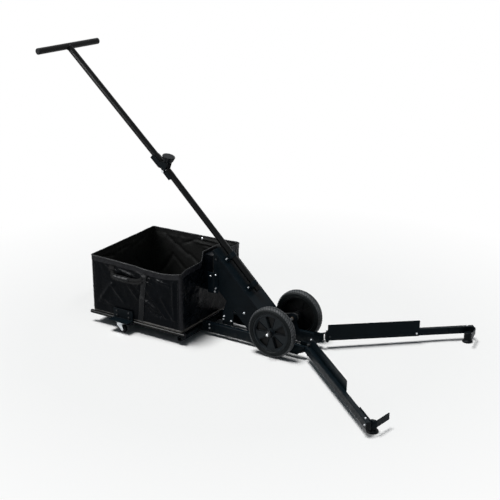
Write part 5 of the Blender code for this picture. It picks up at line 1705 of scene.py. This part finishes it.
def stitches():
    """Lock stitches along the hem, beside the corner seams and down the bands."""
    settings = bpy.context.scene.ball_cart_basket
    tree = stitch_nodes()
    paths = []
    hem = []
    for column in basket_columns():
        wall, s, turn = column
        t = 1 - (settings.hem - 0.004) / (rim_height(wall, s) - BASKET_BOTTOM)
        hem.append(column_point(column, t, 0.0003))
    paths.append(("hem", thinned(hem), True))
    for wall in side_lengths():
        for edge, s in (("start", 0.018), ("end", 0.982)):
            line = [basket_point(wall, s, 0.04 + 0.9 * i / 60, 0.0002) for i in range(61)]
            paths.append((f"{wall}_{edge}", line, False))
    for wall in ("near", "far"):
        for edge in (-1, 1):
            line = []
            for i in range(61):
                part = i / 60
                x = BAND_FOOT_X + BAND_LEAN * part + edge * (settings.band / 2 - 0.0022)
                t = BAND_START + BAND_REACH * part
                line.append(basket_point(wall, wall_share(wall, x), t, 0.0022))
            paths.append((f"band_{wall}_{'front' if edge > 0 else 'rear'}", line, False))
    for label, line, closed in paths:
        stitch = turned_mesh(
            "stitch",
            [(0.0, 0.0013), (0.00032, 0.0009), (0.00038, 0.0), (0.00032, -0.0009), (0.0, -0.0013)],
            facing((0, 0, 0), (1, 0, 0)), 6,
        )
        values = {
            "Piece": new_object("stitch_helper", stitch), "Pitch": settings.stitch,
            "Material": MATERIALS["thread"],
        }
        obj = run_nodes(poly_curve(f"stitches_{label}", line, closed), tree, values)
        finish(obj, "basket", "thread", "webbing", 60)


# Belt lift


def lifting_belt():
    """Wide belt with moulded cross ribs, under the cover."""
    drive, idler = BELT_DRIVE, BELT_IDLER
    run = (drive - idler).normalized()
    square = Vector((-run.z, 0.0, run.x))
    if square.z < 0:
        square = -square
    radius = 0.0090
    path = []
    for i in range(17):
        turn = math.pi * i / 16
        path.append(drive + square * radius * math.cos(turn) + run * radius * math.sin(turn))
    for i in range(17):
        turn = math.pi * i / 16
        path.append(idler - square * radius * math.cos(turn) - run * radius * math.sin(turn))
    across = Vector((0.0, 1.0, 0.0))
    profile = [(-0.00055, -0.0355), (0.00045, -0.0355), (0.00045, 0.0355), (-0.00055, 0.0355)]
    mesh = sweep_mesh("lifting_belt", path, profile, [across] * len(path), True)
    belt = new_object("lifting_belt", mesh)
    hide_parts("elevator_belt")
    finish(belt, "chassis", "belt_rubber", "belt_rubber")
    verts = []
    for x, z in ((-0.0014, -0.0004), (0.0014, -0.0004), (0.0009, 0.0012), (-0.0009, 0.0012)):
        verts += [(x, -0.0345, z), (x, 0.0345, z)]
    faces = [(0, 2, 3, 1), (2, 4, 5, 3), (4, 6, 7, 5), (6, 0, 1, 7), (0, 6, 4, 2), (1, 3, 5, 7)]
    rib = new_object("belt_rib_helper", mesh_from("belt_rib", verts, faces))
    values = {"Piece": rib, "Pitch": 0.0078, "Material": MATERIALS["belt_rubber"]}
    outer = []
    for point in path:
        roller = drive if (point - drive).length < 0.02 else idler
        outer.append(point + (point - roller).normalized() * 0.0004)
    ribs = run_nodes(poly_curve("belt_ribs", outer, True), stitch_nodes(), values)
    finish(ribs, "chassis", "belt_rubber", "belt_rubber", 30)


# Stage


def seen_directly(tree):
    """1 for what the camera sees, straight, in a mirror or through glass."""
    rays = add_node(tree, "ShaderNodeLightPath").outputs
    total = rays["Is Camera Ray"]
    for name in ("Is Glossy Ray", "Is Transmission Ray"):
        total = add_node(
            tree, "ShaderNodeMath", {0: total, 1: rays[name]}, operation="MAXIMUM"
        ).outputs[0]
    return total


def studio_floor(settings):
    """Plain pale floor that holds the cart's shadow and turns white away from it."""
    mesh = bpy.data.meshes.new("studio_floor")
    reach = 14.0
    mesh.from_pydata(
        [(-reach, -reach, 0.0), (reach, -reach, 0.0), (reach, reach, 0.0), (-reach, reach, 0.0)],
        [], [(0, 1, 2, 3)],
    )
    floor = new_object("studio_floor", mesh)
    finish = Finish("matt pale studio floor", tuple(settings.floor), Roughness=0.9,
                    Specular_IOR_Level=0.1)
    tree = finish.tree
    centre = add_node(
        tree, "ShaderNodeVectorMath", {0: finish.place, 1: (AXLE.x - 0.2, 0.0, 0.0)},
        operation="DISTANCE",
    )
    far = finish.between(centre.outputs["Value"], 0.0, 1.0, 0.7, 1.6)
    white = add_node(tree, "ShaderNodeEmission", {"Color": (1.0, 1.0, 1.0, 1.0), "Strength": 1.0})
    mixed = add_node(
        tree, "ShaderNodeMixShader",
        {0: finish.product(far, seen_directly(tree)), 1: finish.shader.outputs[0],
         2: white.outputs[0]},
    )
    tree.links.new(mixed.outputs[0], tree.nodes["Material Output"].inputs["Surface"])
    floor.data.materials.append(finish.material)


def studio_world(settings):
    """Soft room light, seen as white behind the object."""
    world = bpy.data.worlds.new("studio room")
    world.use_nodes = True
    tree = world.node_tree
    tree.nodes.clear()
    room = add_node(
        tree, "ShaderNodeBackground",
        {"Color": (0.72, 0.88, 1.0, 1.0), "Strength": settings.room},
    )
    white = add_node(
        tree, "ShaderNodeBackground", {"Color": (1.0, 1.0, 1.0, 1.0), "Strength": 1.0}
    )
    mixed = add_node(
        tree, "ShaderNodeMixShader",
        {0: seen_directly(tree), 1: room.outputs[0], 2: white.outputs[0]},
    )
    add_node(tree, "ShaderNodeOutputWorld", {"Surface": mixed.outputs[0]})
    bpy.context.scene.world = world


def lamp(name, kind, location, target, energy, **settings):
    """Add a lamp that looks at a target."""
    data = bpy.data.lights.new(name, kind)
    data.energy = energy
    for key, value in settings.items():
        setattr(data, key, value)
    obj = bpy.data.objects.new(name, data)
    obj.location = location
    obj.rotation_euler = (Vector(target) - Vector(location)).to_track_quat("-Z", "Y").to_euler()
    bpy.context.scene.collection.objects.link(obj)
    return obj


def camera(settings):
    """Camera at the photograph's viewing angle."""
    data = bpy.data.cameras.new("camera")
    data.lens = settings.lens
    data.sensor_width = 36.0
    data.clip_start = 0.05
    data.clip_end = 100.0
    obj = bpy.data.objects.new("camera", data)
    turn = Matrix.Rotation(math.radians(32.253), 4, "Z")
    tilt = Matrix.Rotation(math.radians(90 - 19.2839), 4, "X")
    roll = Matrix.Rotation(math.radians(0.1316), 4, "Z")
    place = Matrix.Translation((AXLE.x + 1.635, -2.8222, 1.492))
    obj.matrix_world = place @ turn @ tilt @ roll
    bpy.context.scene.collection.objects.link(obj)
    bpy.context.scene.camera = obj


# Operators and panel


class BALLCART_OT_stage(bpy.types.Operator):
    """Camera, pale floor and soft lamps"""

    bl_idname = "ballcart.stage"
    bl_label = "Studio"

    def execute(self, context):
        settings = context.scene.ball_cart_stage
        camera(settings)
        studio_floor(settings)
        studio_world(settings)
        lamp("key", "SUN", (-0.9, -0.45, 4.6), (0, 0, 0), settings.key, angle=math.radians(22))
        strip = lamp(
            "strip", "AREA", (-1.7, -2.3, 1.8), (-0.1, 0, 0.15), settings.strip,
            shape="RECTANGLE", size=1.0, size_y=2.0,
        )
        strip.visible_diffuse = False
        context.scene.view_settings.view_transform = "Standard"
        return {"FINISHED"}


class BALLCART_OT_finishes(bpy.types.Operator):
    """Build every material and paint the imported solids"""

    bl_idname = "ballcart.finishes"
    bl_label = "Finishes"

    def execute(self, context):
        make_materials(context.scene.ball_cart_finishes)
        paint_packed_solids()
        return {"FINISHED"}


class BALLCART_OT_sheet_metal(bpy.types.Operator):
    """Rounded edges on the sheet metal and moulded pieces"""

    bl_idname = "ballcart.sheet_metal"
    bl_label = "Sheet metal"

    def execute(self, context):
        soften_sheet_metal()
        return {"FINISHED"}


class BALLCART_OT_tubes(bpy.types.Operator):
    """Weld bead and rail plugs"""

    bl_idname = "ballcart.tubes"
    bl_label = "Tube ends"

    def execute(self, context):
        handle_weld()
        rail_plugs()
        return {"FINISHED"}


class BALLCART_OT_wheels(bpy.types.Operator):
    """Treaded tyres, spoke ribs and hub caps"""

    bl_idname = "ballcart.wheels"
    bl_label = "Wheels"

    def execute(self, context):
        tyres()
        tree = ring_nodes()
        for side, sign in SIDES:
            spoke_ribs(side, sign, tree)
            hub_dressing(side, sign)
        return {"FINISHED"}


class BALLCART_OT_bolts(bpy.types.Operator):
    """Plated bolts on every body"""

    bl_idname = "ballcart.bolts"
    bl_label = "Bolts"

    def execute(self, context):
        bolts()
        beam_plugs()
        return {"FINISHED"}


class BALLCART_OT_basket(bpy.types.Operator):
    """Creased cloth basket with its seams, bands and handles"""

    bl_idname = "ballcart.basket"
    bl_label = "Basket"

    def execute(self, context):
        basket_cloth()
        basket_seams()
        hem_tapes()
        upright_bands()
        carry_handles()
        rim_rivets()
        base_board()
        stitches()
        return {"FINISHED"}


class BALLCART_OT_belt(bpy.types.Operator):
    """Ribbed lifting belt"""

    bl_idname = "ballcart.belt"
    bl_label = "Lifting belt"

    def execute(self, context):
        lifting_belt()
        return {"FINISHED"}


STEPS = (
    BALLCART_OT_stage, BALLCART_OT_finishes, BALLCART_OT_sheet_metal, BALLCART_OT_tubes,
    BALLCART_OT_wheels, BALLCART_OT_bolts, BALLCART_OT_basket, BALLCART_OT_belt,
)


class BALLCART_PT_panel(bpy.types.Panel):
    """Sizes, colours and building steps of the cart"""

    bl_idname = "BALLCART_PT_panel"
    bl_label = "Tennis ball cart"
    bl_space_type = "VIEW_3D"
    bl_region_type = "UI"
    bl_category = "Ball cart"

    def draw(self, context):
        layout = self.layout
        for step in STEPS:
            layout.operator(step.bl_idname)
        for name in GROUPS:
            group = getattr(context.scene, name)
            box = layout.box()
            for key in group.bl_rna.properties.keys():
                if key not in {"rna_type", "name"}:
                    box.prop(group, key)


GROUPS = {
    "ball_cart_finishes": BallCartFinishes,
    "ball_cart_basket": BallCartBasket,
    "ball_cart_tyres": BallCartTyres,
    "ball_cart_fasteners": BallCartFasteners,
    "ball_cart_stage": BallCartStage,
}


def register():
    """Register the settings, the steps and the panel."""
    for name, group in GROUPS.items():
        bpy.utils.register_class(group)
        setattr(bpy.types.Scene, name, bpy.props.PointerProperty(type=group))
    for step in STEPS:
        bpy.utils.register_class(step)
    bpy.utils.register_class(BALLCART_PT_panel)


def unregister():
    """Take everything back out."""
    bpy.utils.unregister_class(BALLCART_PT_panel)
    for step in reversed(STEPS):
        bpy.utils.unregister_class(step)
    for name, group in GROUPS.items():
        delattr(bpy.types.Scene, name)
        bpy.utils.unregister_class(group)


def main():
    """Build the cart's looks in order."""
    register()
    bpy.ops.ballcart.stage()
    bpy.ops.ballcart.finishes()
    bpy.ops.ballcart.sheet_metal()
    bpy.ops.ballcart.tubes()
    bpy.ops.ballcart.wheels()
    bpy.ops.ballcart.bolts()
    bpy.ops.ballcart.basket()
    bpy.ops.ballcart.belt()


if __name__ == "__main__":
    main()
